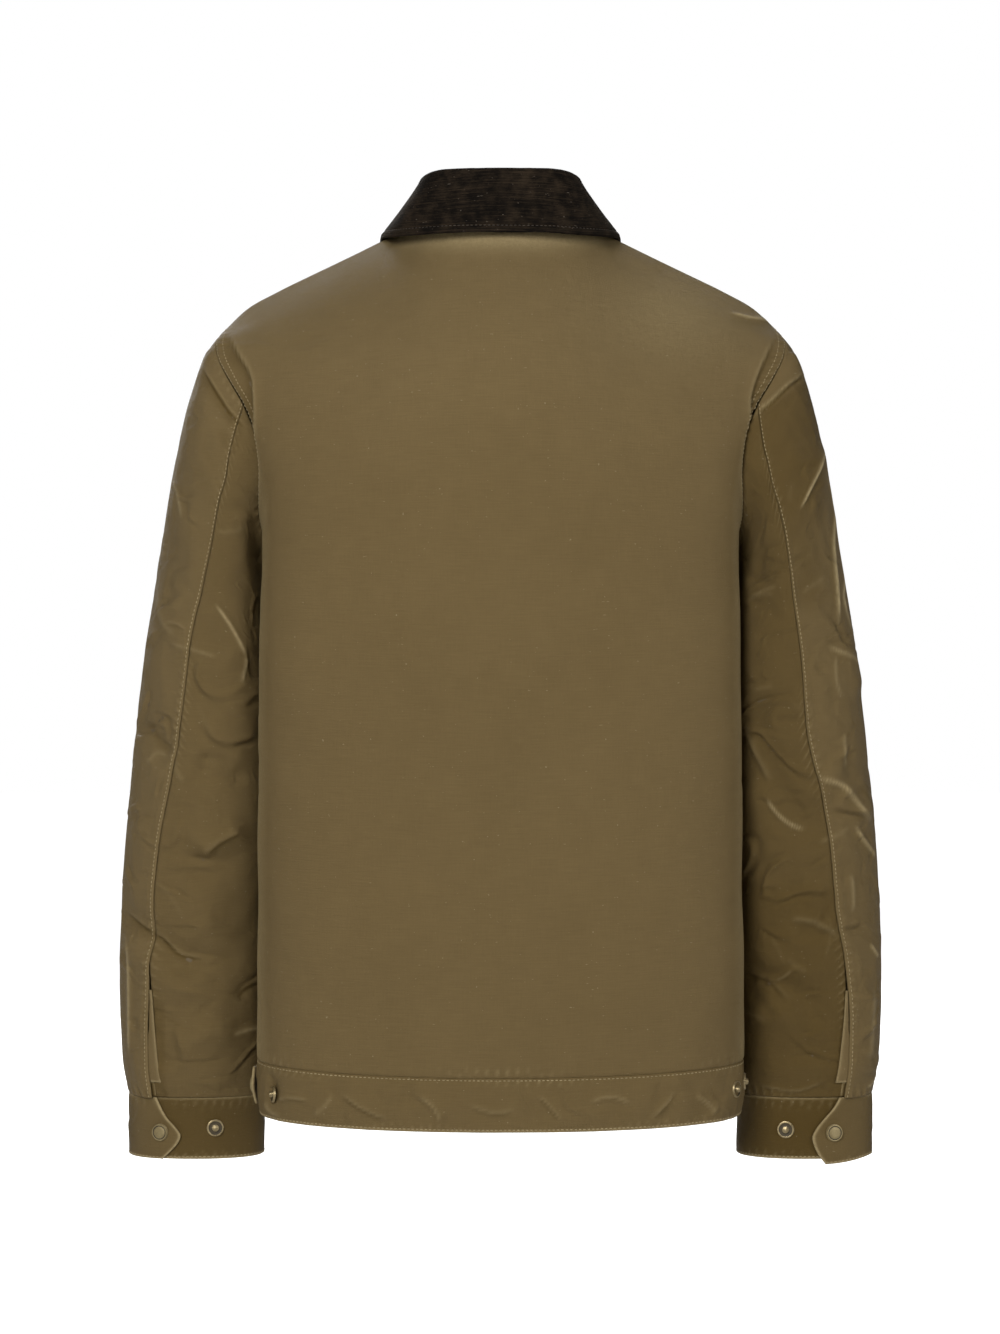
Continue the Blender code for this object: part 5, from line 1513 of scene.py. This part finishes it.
@dataclass
class SleevePieces:
    """One sleeve: its outer and inner piece, and the underlap of its vent."""
    side: Side
    cut: SleeveCut
    body: BodyCut
    finishes: Finishes
    cloth: float = 1.6
    pitch: float = 1.75
    length: float = 610.0
    column_width: float = 15.5
    lay: float = 0.5
    ends: ClassVar[tuple[float, ...]] = (0.0, 0.8, 1.8, 3.0)      # divisions beside a seam

    def __post_init__(self) -> None:
        """Reads the body's armhole and how much painted shade the sleeve's pieces and its gaping vent get."""
        self.edges = [self.body.quarter(face, self.cut)[:, :1] for face in Face]
        right = self.side is Side.RIGHT
        # Painted shade, more on the right sleeve and on the inner pieces.
        self.piece_shades = {"outer": 0.21, "inner": 0.66} if right else {"outer": 0.10, "inner": 0.34}
        self.gape_shade = 0.85 if right else 0.6

    def divide(self, length: float) -> Array:
        """Shares of a length that divide it finely, closer by its two ends."""
        ends = np.array(self.ends) / length
        inside = np.linspace(ends[-1], 1 - ends[-1], round(length / self.pitch))
        return np.concatenate((ends[:-1], inside, 1 - ends[:-1][::-1]))

    def armhole(self, columns: Array) -> Array:
        """The body's armhole edge where it meets the sleeve's columns."""
        half = self.cut.columns / 2
        around = np.mod(columns, self.cut.columns)
        corner = len(self.edges[0]) - 1 - self.body.armhole_rows
        rows = corner + np.abs(half - around)
        back, front = (smooth_lines(edge, rows, corner, np.ones(1))[:, 0] for edge in self.edges)
        return np.where((around <= half)[:, None], back, front)

    def grid(self, t: Array, columns: Array) -> Array:
        """Points of the sleeve in left-hand place, folded and met with the body's armhole."""
        grid = self.cut.points(self.side, t, columns)
        normals = grid_normals(grid)
        rows = np.minimum(t, 1 - t) * self.cut.rows / 2
        height = self.cut.fold_height(self.side, grid, normals) * ease(rows)[:, None]
        grid = grid + normals * height[..., None]
        away = self.armhole(columns) - self.cut.points(self.side, np.zeros(1), columns)[0]
        return grid + away[None] * ease(1 - t / 0.06)[:, None, None]

    def opening(self, t: Array) -> Array:
        """How far the vent is open, from 0 to 1."""
        return ease((t - self.cut.vent_top) / self.cut.vent_open)[:, None]

    def build(self) -> None:
        """Builds the sleeve's pieces and their stitching."""
        stitches = Stitcher()
        small = SmallCreases(41 if self.side is Side.LEFT else 47, 84).strew(self.side)
        for kind in ("outer", "inner"):
            self.piece(kind, (*CREASES, *small), stitches)
        self.vent()
        stitches.build(f"sleeve_{self.side.word}_stitching", self.finishes.thread)

    def piece(self, kind: str, creases: Sequence[Crease], stitches: Stitcher) -> None:
        """Builds the outer or the inner piece.

        Args:
            kind: "outer" or "inner".
            creases: every crease that may lie on it.
            stitches: what lays its stitches.
        """
        outer = kind == "outer"
        cut = self.cut
        start, stop = ((cut.front_column, cut.columns + cut.rear_column) if outer
                       else (cut.rear_column, cut.front_column))
        columns = start + (stop - start) * self.divide((stop - start) * self.column_width)
        t = 1 - self.divide(self.length)
        grid = self.grid(t, columns)
        if outer:
            over = (cut.vent_lift + self.lay) * self.opening(t) * ease(1 - (stop - columns) / 4.0)[None]
            grid = grid + grid_normals(grid) * over[..., None]
        ahead, rear = self.side.borders()[::1 if outer else -1]
        seam = (Finishing(rear, rows=(2.0,), allowance=6.0, pucker=0.42, groove=0.7, worn=0.14) if outer
                else Finishing(rear, pucker=0.35, groove=1.8))
        finishings = (seam, Finishing(ahead, groove=0.7, pucker=0.2),
                      Finishing(Border.TOP, groove=0.6, pucker=0.35),
                      Finishing(Border.BOTTOM, groove=0.45, pucker=0.6))
        cloth = Cloth(f"sleeve_{self.side.word}_{kind}", self.side.place(grid), self.cloth, finishings,
                      ("back",))
        cloth.push(self.waves(cloth) * cloth.clear_of_seams(12.0))
        cloth.crease(creases, self.side)
        self.painted_darkening(cloth, outer)
        if not outer:
            # Painted shadow on the inner piece where the vent gapes beside it.
            beside = ease((19.0 - cloth.from_border[rear]) / 9.0)
            cloth.shade(self.gape_shade * self.opening(t) * beside)
        cloth.finish(71 + self.side.value, stitches, self.finishes)

    def waves(self, cloth: Cloth) -> Array:
        """Height of the soft waves and wrinkles all over a piece, calmer where it is turned away."""
        seed = 21 + self.side.value
        waves = 0.9 * slow_waves(cloth.grid, seed, 60.0) + 0.35 * slow_waves(cloth.grid, seed + 5, 22.0)
        tight = 0.65 + 0.35 * bell(cloth.grid[..., 2] + 450, 140)
        for number, size, rise, cover in ((100, 62.0, 2.0, 0.3), (200, 34.0, 1.1, 0.2), (300, 20.0, 0.5, 0.1)):
            wrinkles = Wrinkles(seed + number, size, rise, cover=cover)
            waves = waves + tight * wrinkles.height(cloth.grid, (0.8, 0.8, 1.3))
        return waves * (0.12 + 0.88 * ease(1.6 * cloth.facing))

    def painted_darkening(self, cloth: Cloth, outer: bool) -> None:
        """Paints shade on a piece evenly, and on the right sleeve a painted shadow under its cap's fold and
        painted shade low on its inner piece.
        """
        cloth.shade(self.piece_shades["outer" if outer else "inner"])
        if self.side is Side.RIGHT:
            across, z = np.abs(cloth.grid[..., 0]), cloth.grid[..., 2]
            # Painted shadow under the cap's fold, and painted shade low on the inner piece.
            below = -152 + (across - 191) * 0.82 - z
            cloth.shade(0.74 * ease(below / 7) * ease((200 - below) / 130) * ease((262 - across) / 20))
            if not outer:
                cloth.shade(0.82 * ease((-440 - z) / 90))

    def vent(self) -> None:
        """Builds the narrow underlap beside the rear seam."""
        foot, top, step = 1 - 0.45 / self.cut.rows, 1 - 3 / self.cut.rows, 0.0012
        t = np.concatenate((np.linspace(0.999, foot + step, 8), np.linspace(foot, top, 40)))
        ends = np.interp(t, (top, foot, foot + step, 1.0), (0.12, 0.55, 0.14, 0.14))
        rows = []
        for one, end in zip(t, ends):
            start = 0.05 - 0.30 * float(ease((one - 0.92) / 0.03))
            columns = self.cut.rear_column + start + (end - start) * np.linspace(0.0, 1.0, 12)
            rows.append(self.grid(np.array([one, one - 0.004]), columns)[0])
        grid = np.stack(rows)
        raised = np.where(t > foot, 0.15, 1.0)[:, None, None]
        grid = grid + grid_normals(grid) * (self.cloth + self.lay) * raised
        finishings = (Finishing(Border.BOTTOM, sewn=False),
                      Finishing(self.side.borders()[1], sewn=False, worn=0.4))
        cloth = Cloth(f"vent_{self.side.word}", self.side.place(grid), self.cloth, finishings,
                      (f"sleeve_{self.side.word}_inner",), Held.LAID)
        # Painted shade on the tongue below the underlap's foot, and pale wear with painted highlight along the
        # foot.
        cloth.shaded[t > foot] = 1.0
        cloth.rubbed[np.abs(t - foot) < 0.002] = 0.9
        cloth.finish(5, Stitcher(), self.finishes)


@dataclass
class CuffPiece:
    """A cuff, a strip with a pointed end that laps over its start."""
    side: Side
    finishes: Finishes
    droop: float
    # How much painted shade darkens the cuff.
    painted_darkening: float
    cap: tuple[float, float]
    stud: tuple[float, float]
    outer_x: float = 291.0
    inner_x: float = 187.0
    middle_y: float = -25.0
    half_depth: float = 38.0
    squareness: float = 2.2
    seam_z: float = -678.65
    foot_z: float = -726.0
    start: float = 40.0
    end: float = 417.0
    cloth: float = 2.4
    ends: ClassVar[Table] = (
        (-1.00, 425.0, 436.0), (-0.77, 431.5, 441.0), (-0.50, 437.5, 444.5), (-0.25, 440.0, 446.0),
        (0.00, 436.5, 443.5), (0.30, 429.0, 437.5), (0.65, 423.0, 429.0), (1.00, 418.0, 423.0),
    )

    def point(self, turn: Array, height: Array) -> Array:
        """A point of the outer face in left-hand place; one turn on, the strip lies on itself."""
        angle = np.radians(turn)
        half_width = (self.outer_x - self.inner_x) / 2
        cos, sin = (signed_power(wave(angle), 2 / self.squareness) for wave in (np.cos, np.sin))
        lift = 3.4 * ease((turn - 290.0) / 85.0)
        x = self.inner_x + half_width + (half_width + lift) * cos
        y = self.middle_y + (self.half_depth + lift) * sin
        z = self.foot_z + (self.seam_z - self.foot_z) * (1 + height) / 2
        hanging = ease((turn - 380.0) / 60.0)
        return np.stack([x, y, z - self.droop * hanging * ((1 - height) / 2) ** 2], axis=-1)

    def build(self) -> None:
        """Builds the cuff and its stitching."""
        heights = np.concatenate(([-1, -0.97, -0.935], np.linspace(-0.89, 0.89, 19), [0.935, 0.97, 1]))
        along = np.concatenate(([0, 0.0022, 0.005], np.linspace(0.009, 0.991, 150), [0.995, 0.9978, 1]))
        bend = ease((along - 0.85) / 0.15)
        rows = []
        for height in heights:
            end = read(self.ends, 1 if self.side is Side.LEFT else 2, height)
            turn = self.start + (self.end - self.start) * along + (end - self.end) * bend
            rows.append(self.point(turn, np.full_like(turn, height)))
        finishings = (
            Finishing(Border.TOP, groove=0.25, pucker=0.3, worn=0.55),
            Finishing(Border.BOTTOM, rows=(1.3,), sewn=False, pucker=0.12, worn=0.75),
            Finishing(self.side.borders()[1], sewn=False, worn=0.85),
        )
        cloth = Cloth(f"cuff_{self.side.word}", self.side.place(np.stack(rows)), self.cloth, finishings,
                      (f"sleeve_{self.side.word}_outer",))
        waves = 0.4 * slow_waves(cloth.grid, 77 + self.side.value, 40.0)
        waves = waves + Wrinkles(83 + self.side.value, 40.0, 0.5).height(cloth.grid)
        cloth.push(waves * cloth.clear_of_seams(9.0))
        # Painted shade over the cuff, less on the raised flap at its end.
        flap_shade_share = 1 - 0.6 * ease((along - 0.86) / 0.07)
        cloth.shade(self.painted_darkening * flap_shade_share[::self.side.value][None])
        stitches = Stitcher()
        cloth.finish(81, stitches, self.finishes)
        stitches.build(f"cuff_{self.side.word}_stitching", self.finishes.thread)

    def snap_place(self, turn: float, height: float) -> Spot:
        """Place and normal of a snap on the cuff."""
        before, place, after = self.point(turn + np.array([-3.0, 0.0, 3.0]), np.full(3, height))
        return place * self.side.flip, unit(np.cross(after - before, UP)) * self.side.flip


@dataclass
class Collar:
    """The corduroy collar: a stand that rolls over into its fall."""
    body: BodyCut
    finishes: Finishes
    thickness: float = 2.6
    wale: float = 1.28
    rows_in_wale: int = 6
    columns: int = 12
    pitch: float = 5.0
    roll_radius: float = 2.2
    end_x: float = 3.0
    stitch_row: float = 4.4
    # Share of the way round from centre back, then x, y and z of the roll's foot and of the fall's edge.
    stations: ClassVar[Table] = (
        (0.00, 0, 67, 34, 0, 81.5, -11.7), (0.12, 24, 66, 34, 30, 79.5, -11.7),
        (0.25, 46, 57, 34, 60, 67.5, -11.7), (0.375, 57, 37, 33, 82, 45, -10.6),
        (0.50, 61, 8, 28, 92, 10, -7.5), (0.625, 59, -18, 14, 94, -28, -16),
        (0.75, 49, -43, -9, 90, -60, -40), (0.875, 33, -62, -36, 76, -86, -72),
        (1.00, 8, -74, -60, 50, -101, -106),
    )

    def half(self) -> Array:
        """Coarse left half: columns from the front end to centre back, rows from the neck seam."""
        columns = []
        for k in range(self.columns, -1, -1):
            q = k / self.columns
            seam = (self.body.neckline(Face.FRONT, 2 * q - 1) if q > 0.5
                    else self.body.neckline(Face.BACK, 1 - 2 * q))
            if q == 1:
                beside = self.body.neckline(Face.FRONT, 1 - 2 / self.columns)
                seam = seam + (beside - seam) * (self.end_x / beside[0]) + (0, 0, 0.5)
            station = np.array([float(read(self.stations, place, q)) for place in range(1, 7)])
            roll, edge = station[:3], station[3:]
            out = unit((edge - seam) * (1, 1, 0)) if q > 0 else np.array((0.0, 1.0, 0.0))
            arc = [roll + self.roll_radius * (out * math.cos(turn) + np.array(UP) * math.sin(turn))
                   for turn in np.linspace(math.pi, 0, 5)]
            stand = [seam + (arc[0] - seam) * share for share in (0.0, 0.5)]
            fall = [arc[-1] + (edge - arc[-1]) * share for share in (1 / 3, 2 / 3, 1.0)]
            columns.append(np.array(stand + arc + fall))
        return np.stack(columns, axis=1)

    def build(self) -> None:
        """Builds the collar, its wales in relief, and its stitching."""
        coarse = whole(self.half())
        shown = coarse - grid_normals(coarse) * self.thickness
        columns = fine_places(shown[-1], self.pitch, (1.0, 2.2, 3.4))
        lengths = lengths_along(shown[:, self.columns])
        count = round(lengths[-1] / self.wale * self.rows_in_wale)
        rows = np.interp(np.linspace(0, lengths[-1], count + 1), lengths, np.arange(len(shown), dtype=float))
        fine, hidden = (smooth_lines(smooth_across(one, columns), rows)[:, ::-1] for one in (shown, coarse))
        finishings = (
            Finishing(Border.TOP, rows=(self.stitch_row,), sewn=False),
            Finishing(Border.FIRST, rows=(self.stitch_row,), start=0.45, sewn=False),
            Finishing(Border.LAST, rows=(self.stitch_row,), start=0.45, sewn=False),
            Finishing(Border.BOTTOM),
        )
        cloth = Cloth("collar", fine, self.thickness, finishings, ("back",), Held.FOLDED, "corduroy", (6, 1))
        cloth.normals = unit(fine - hidden)
        from_edge = cloth.from_border[Border.TOP]
        wave = np.abs(np.sin(math.pi * ((from_edge + 0.25 * slow_waves(fine, 91, 30.0, 5)) / self.wale))) ** 0.7
        soft = 0.85 + 0.15 * slow_waves(fine, 92, 9.0, 7)
        sway = 0.7 * slow_waves(fine, 93, 55.0) * ease(1.6 * cloth.facing)
        height = 0.42 * wave * soft + sway * cloth.clear_of_seams(12.0)
        height = height - 0.5 * bell(from_edge - self.stitch_row, 0.9)
        # Painted shade in the channels between the wales, and paler nap streaks on the wales, part painted
        # highlight.
        cloth.shaded = np.clip(1 - wave * 1.5, 0, 1) * 0.8
        cloth.rubbed = np.clip(slow_waves(fine, 94, 16.0) * 0.5, 0, 1) * wave
        cloth.push(height - 0.9 * ease(1 - from_edge / 2.2))
        stitches = Stitcher(radius=0.22)
        cloth.sew(stitches)
        cloth.build(self.finishes.cord, self.finishes.cord)
        stitches.build("collar_stitching", self.finishes.dark_thread, "corduroy")


@dataclass
class Trim:
    """The placket, the hem's side tabs, and the places of the snaps on them and beside them."""
    body: BodyCut
    sleeve: SleeveCut
    finishes: Finishes
    cloth: float = 2.4
    lay: float = 0.5
    placket_half_width: float = 20.0
    tab_height: float = 28.0
    tab_z: float = -667.0
    tab_point: float = 9.0
    # For each tab: its side, y where it is sewn and where it ends, and y of its cap.
    tabs: ClassVar[tuple[tuple[Side, float, float, float], ...]] = (
        (Side.LEFT, -44, 36, 16), (Side.RIGHT, -72, 2, -16),
    )
    placket_caps: ClassVar[tuple[float, ...]] = (-112, -224, -336, -448, -560, -670)
    right_studs: ClassVar[dict[str, tuple[float, float]]] = {"rear": (71, -664), "side": (49, -661)}
    left_stud: ClassVar[tuple[float, float]] = (79, -667)

    def side_point(self, y: float, z: float, side: Side) -> Spot:
        """Point and outward normal of the hem band where it has a given y on one side."""
        ring = np.concatenate((self.body.section(z, Face.FRONT)[::-1], self.body.section(z, Face.BACK)[1:]))
        place = np.clip(np.searchsorted(ring[:, 1], y), 2, len(ring) - 3)
        spot = np.array([np.interp(y, ring[:, 1], ring[:, 0]), y, z])
        along = ring[place + 2] - ring[place - 2]
        return spot * side.flip, unit(np.cross(along, UP)) * side.flip

    def placket_grid(self) -> Array:
        """Points of the placket, laid on both fronts and the band."""
        rows = list(self.body.band_quarter(Face.FRONT)[:-1]) + list(self.body.quarter(Face.FRONT, self.sleeve))
        rows[-1] = rows[-1] + (rows[-2] - rows[-1]) * 0.3
        places = np.linspace(-self.placket_half_width, self.placket_half_width, 5)
        grid = []
        for row in rows:
            outward = row[np.argsort(row[:, 0])]
            y, z = (np.interp(np.abs(places), outward[:, 0], outward[:, axis]) for axis in (1, 2))
            grid.append(np.stack([places, y, z], axis=1))
        grid = np.stack(grid)
        return grid + grid_normals(grid) * (self.lay + self.cloth)

    def build_placket(self) -> None:
        """Builds the placket and its stitching."""
        coarse = self.placket_grid()
        grid = smooth_across(coarse, fine_places(coarse[0], 2.4))
        grid = smooth_lines(grid, fine_places(coarse[:, 2], 3.6))
        finishings = (
            Finishing(Border.FIRST, rows=(3.2, 9.0), sewn=False, worn=0.6, pucker=0.12),
            Finishing(Border.LAST, rows=(3.2,), sewn=False, worn=0.5, pucker=0.12),
            Finishing(Border.BOTTOM, rows=(3.2,), sewn=False, worn=0.6),
            Finishing(Border.TOP, sewn=False),
        )
        cloth = Cloth("placket", grid, self.cloth, finishings, ("front_left", "front_right"), Held.LAID)
        cloth.push(0.4 * slow_waves(cloth.grid, 55, 50.0) * cloth.clear_of_seams(8.0))
        stitches = Stitcher()
        cloth.finish(57, stitches, self.finishes)
        stitches.build("placket_stitching", self.finishes.thread)

    def tab_grid(self, side: Side, sewn_y: float, free_y: float, columns: int, rows: int) -> Array:
        """Points of a tab along the side of the band, its pointed end standing off a little.

        Args:
            side: the tab's side.
            sewn_y: where it is sewn.
            free_y: where its point ends.
            columns: divisions along it.
            rows: divisions up it.

        Returns:
            The grid.
        """
        grid = []
        for height in np.linspace(-1, 1, rows + 1):
            points = []
            for part in np.linspace(0, 1, columns + 1):
                pointed = self.tab_point * (1 - abs(height)) * ease((part - 0.7) / 0.3)
                y = sewn_y + (free_y - self.tab_point - sewn_y) * part + pointed
                place, normal = self.side_point(y, self.tab_z + height * self.tab_height / 2, side)
                points.append(place + normal * (2 * self.lay + self.cloth + 3.0 * ease((part - 0.55) / 0.45)))
            grid.append(np.array(points))
        return np.stack(grid)[:, ::side.value]

    def build_tabs(self) -> None:
        """Builds both tabs and their stitching."""
        stitches = Stitcher()
        for side, sewn_y, free_y, _ in self.tabs:
            fixed, free = side.borders()
            finishings = (
                Finishing(Border.TOP, rows=(2.8,), sewn=False, worn=0.6),
                Finishing(Border.BOTTOM, rows=(2.8,), sewn=False, worn=0.6),
                Finishing(free, rows=(3.2,), sewn=False, worn=0.9),
                Finishing(fixed, rows=(2.4,)),
            )
            grid = self.tab_grid(side, sewn_y, free_y, 40, 16)
            cloth = Cloth(f"hem_tab_{side.word}", grid, self.cloth, finishings, ("band_back",), Held.LAID)
            cloth.finish(17, stitches, self.finishes)
        stitches.build("tab_stitching", self.finishes.thread)

    def caps(self) -> dict[str, Spot]:
        """Finds the place and the normal of each cap on the tabs and the placket."""
        spots = {}
        for side, sewn_y, free_y, cap_y in self.tabs:
            grid = self.tab_grid(side, sewn_y, free_y, 8, 4)
            nearest = int(np.argmin(np.abs(grid[2, :, 1] - cap_y)))
            spots[f"hem_cap_{side.word}"] = (grid[2, nearest], grid_normals(grid)[2, nearest])
        centre = self.placket_grid()[:, 2]
        for number, z in enumerate(self.placket_caps, start=1):
            lower, y, upper = np.interp(z + np.array([-8, 0, 8]), centre[:, 2], centre[:, 1])
            normal = unit(np.array([0.0, -16.0, upper - lower]))
            spots[f"placket_cap_{number}"] = (np.array((0.0, y, z)) + normal * 0.4, normal)
        return spots

    def studs(self) -> dict[str, Spot]:
        """Finds the place and the normal of each spare stud beside the tabs."""
        place, normal = self.side_point(*self.left_stud, Side.LEFT)
        tilted = unit(normal + np.array((1.6, 0.0, 0.2)))
        spots = {"hem_stud_left": (place - tilted * 1.6 + tilted * 0.5, tilted)}
        for word, (y, z) in self.right_studs.items():
            place, normal = self.side_point(y, z, Side.RIGHT)
            spots[f"hem_stud_right_{word}"] = (place + normal * 0.5, normal)
        return spots


# Snaps.

def only(item: bpy.types.Object) -> None:
    """Deselects everything and makes one object the active, selected one."""
    bpy.ops.object.select_all(action="DESELECT")
    item.select_set(True)
    bpy.context.view_layer.objects.active = item


def pick_faces(item: bpy.types.Object, wanted: Callable[[bpy.types.MeshPolygon], bool]) -> None:
    """Selects the faces of a mesh that are wanted, in face mode, and goes on in edit mode."""
    if bpy.context.object.mode == "EDIT":
        bpy.ops.object.mode_set(mode="OBJECT")
    for part in (item.data.vertices, item.data.edges, item.data.polygons):
        part.foreach_set("select", [False] * len(part))
    for polygon in item.data.polygons:
        polygon.select = wanted(polygon)
    bpy.ops.object.mode_set(mode="EDIT")
    bpy.context.tool_settings.mesh_select_mode = (False, False, True)


@dataclass
class SnapMould:
    """A turned snap part, modelled once at the origin and copied to its places."""
    name: str
    slot: str
    radius: float
    steps: tuple[tuple[str, float], ...]
    material: bpy.types.Material
    # The hollow material is a dark painted shade.
    hollow: bpy.types.Material
    ring: tuple[float, float]
    base: float = 0.9
    sides: int = 40

    def model(self) -> bpy.types.Object:
        """Models the part: a low drum whose top is inset and pushed or pulled in steps."""
        bpy.ops.object.select_all(action="DESELECT")
        bpy.ops.mesh.primitive_cylinder_add(vertices=self.sides, radius=self.radius * MM, depth=self.base * MM,
                                            location=(0, 0, self.base * MM / 2))
        item = bpy.context.object
        item.name = self.name
        bpy.ops.object.transform_apply(location=True, rotation=True, scale=True)
        pick_faces(item, lambda face: face.normal.z > 0.9)
        for way, size in self.steps:
            if way == "inset":
                bpy.ops.mesh.inset(thickness=size * MM, depth=0.0)
            else:
                bpy.ops.mesh.extrude_region_move(TRANSFORM_OT_translate={"value": (0, 0, size * MM)})
        bpy.ops.object.mode_set(mode="OBJECT")
        bevel = item.modifiers.new("Round", "BEVEL")
        bevel.width = 0.22 * MM
        bevel.segments = 2
        bevel.limit_method = "ANGLE"
        bevel.angle_limit = math.radians(35)
        only(item)
        bpy.ops.object.modifier_apply(modifier=bevel.name)
        bpy.ops.object.shade_smooth_by_angle(angle=math.radians(38))
        item.data.materials.clear()
        item.data.materials.append(self.material)
        item.data.materials.append(self.hollow)
        # The hollow ring gets the dark painted shade.
        low, high = (edge * MM for edge in self.ring)
        for polygon in item.data.polygons:
            centre = polygon.center
            polygon.material_index = int(low < math.hypot(centre.x, centre.y) < high and centre.z > 0.1 * MM)
        return item

    def build(self, spots: dict[str, Spot]) -> None:
        """Models the part and copies it to each place, in place of its solid.

        Args:
            spots: node, with its place and the way its axis points.
        """
        mould = self.model()
        for node, (place, normal) in spots.items():
            copy = link(f"{node}_metal", mould.data.copy())
            axis = Vector([float(v) for v in normal]).normalized()
            across = Vector(UP).cross(axis).normalized()
            up = axis.cross(across)
            spot = [float(v) * MM for v in place]
            rows = [[across[k], up[k], axis[k], spot[k]] for k in range(3)] + [[0.0, 0.0, 0.0, 1.0]]
            copy.data.transform(Matrix(rows))
            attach(copy, "root")
            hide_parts(node)
            LOG.info("%s: %d faces", copy.name, len(copy.data.polygons))
        bpy.data.objects.remove(mould, do_unlink=True)


# A snap's steps from its drum up: an inset narrows the top by a distance and a push raises it.
CAP_STEPS = (
    ("inset", 0.3), ("push", 1.5), ("inset", 0.9), ("push", -0.5), ("inset", 0.8), ("push", 0.5),
    ("inset", 0.6), ("push", 0.15), ("inset", 1.6),
)
STUD_STEPS = (
    ("inset", 0.25), ("push", 0.8), ("inset", 1.1), ("push", -1.0), ("inset", 2.7), ("push", 2.3),
    ("inset", 0.5), ("push", 0.6), ("inset", 0.8), ("push", 0.2),
)


@dataclass
class Studio:
    """The floor, the lights and the camera."""
    floor_z: float = -0.99
    floor_radius: float = 14.0
    floor_tones: tuple[Colour, Colour] = ((0.56, 0.56, 0.56, 1), (0.60, 0.60, 0.60, 1))
    room_light: float = 0.24
    aim: tuple[float, float, float] = (0.0, 0.0, -0.35)
    distance: float = 2.5
    frame_height: float = 1.04719
    sensor: float = 36.0
    camera_x: float = 0.0004
    camera_z: float = -0.3423
    # For each lamp: its name, place, size and power.
    lamps: ClassVar[tuple[tuple[str, tuple[float, float, float], float, float], ...]] = (
        ("Key", (0.8, 2.8, 0.6), 1.1, 79.5), ("Fill", (-2.2, 2.5, 0.1), 1.5, 36.0),
        ("Front", (0.6, -3.0, 1.4), 2.4, 130.0),
    )

    def build(self) -> None:
        """Sets up the studio."""
        self.lay_floor()
        self.light_world()
        for lamp in self.lamps:
            self.hang_lamp(*lamp)
        self.place_camera()
        bpy.context.scene.view_settings.view_transform = "Standard"
        bpy.context.scene.view_settings.look = "None"

    def lay_floor(self) -> None:
        """Lays a pale floor with a soft grain."""
        bpy.ops.object.select_all(action="DESELECT")
        bpy.ops.mesh.primitive_circle_add(vertices=96, radius=self.floor_radius, fill_type="NGON",
                                          location=(0, 0, self.floor_z))
        floor = bpy.context.object
        floor.name = "floor"
        bpy.ops.object.transform_apply(location=True, rotation=True, scale=True)
        made = Surface("Floor")
        seen = made.math("MULTIPLY", made.add("LightPath").outputs["Is Camera Ray"], 0.95)
        for label, value in (
            ("Base Color", made.blend(made.noise(made.space, 3.0, 2.0), *self.floor_tones)),
            ("Roughness", 0.9), ("Specular IOR Level", 0.1), ("Emission Color", WHITE),
            ("Emission Strength", seen),
        ):
            made.feed(made.shader.inputs[label], value)
        floor.data.materials.append(made.material)

    def light_world(self) -> None:
        """Lights the room softly and evenly from all round."""
        world = bpy.data.worlds.new("Room")
        bpy.context.scene.world = world
        world.use_nodes = True
        graph = Graph(world.node_tree)
        ground = graph.tree.nodes["Background"]
        ground.inputs["Color"].default_value = WHITE
        ground.inputs["Strength"].default_value = self.room_light
        seen = graph.add("Background", Color=WHITE, Strength=1.0)
        mix = graph.add("MixShader", i0=graph.add("LightPath").outputs["Is Camera Ray"], i1=ground.outputs[0],
                        i2=seen.outputs[0])
        graph.feed(graph.tree.nodes["World Output"].inputs[0], mix.outputs[0])

    def hang_lamp(self, name: str, place: tuple[float, float, float], size: float, power: float) -> None:
        """Hangs a soft square lamp that faces the jacket's middle."""
        lamp = bpy.data.lights.new(name, "AREA")
        lamp.shape = "SQUARE"
        lamp.size = size
        lamp.energy = power
        item = link(name, lamp)
        item.location = place
        item.rotation_euler = (Vector(self.aim) - Vector(place)).to_track_quat("-Z", "Y").to_euler()

    def place_camera(self) -> None:
        """Places the camera straight behind the jacket."""
        camera = bpy.data.cameras.new("Camera")
        camera.sensor_width = self.sensor
        camera.lens = self.sensor * self.distance / self.frame_height
        item = link("Camera", camera)
        item.location = (self.camera_x, self.distance, self.camera_z)
        item.rotation_euler = (math.radians(90), 0.0, math.radians(180))
        bpy.context.scene.camera = item


def main() -> None:
    """Dresses the jacket, piece by piece."""
    logging.basicConfig(level=logging.INFO, format="%(name)s: %(message)s")
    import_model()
    finishes = Finishes()
    body = BodyCut()
    sleeve = SleeveCut()
    BodyPieces(body, sleeve, finishes).build()
    Collar(body, finishes).build()
    for side in Side:
        SleevePieces(side, sleeve, body, finishes).build()
    trim = Trim(body, sleeve, finishes)
    trim.build_placket()
    trim.build_tabs()
    caps, studs = {}, {}
    for cuff in (CuffPiece(Side.LEFT, finishes, 0.0, 0.82, (423.5, -0.14), (106.0, 0.0)),
                 CuffPiece(Side.RIGHT, finishes, 4.0, 1.0, (429.5, -0.10), (106.0, -0.06))):
        cuff.build()
        caps[f"cuff_cap_{cuff.side.word}"] = cuff.snap_place(*cuff.cap)
        studs[f"cuff_stud_{cuff.side.word}"] = cuff.snap_place(*cuff.stud)
    SnapMould("snap_cap", "snap_cap", 6.7, CAP_STEPS, finishes.brass, finishes.tarnish,
              (4.7, 5.5)).build(caps | trim.caps())
    SnapMould("snap_stud", "bronze_stud", 6.6, STUD_STEPS, finishes.bronze, finishes.tarnish,
              (2.6, 5.75)).build(studs | trim.studs())
    Studio().build()
    LOG.info("done")


if __name__ == "__main__":
    main()
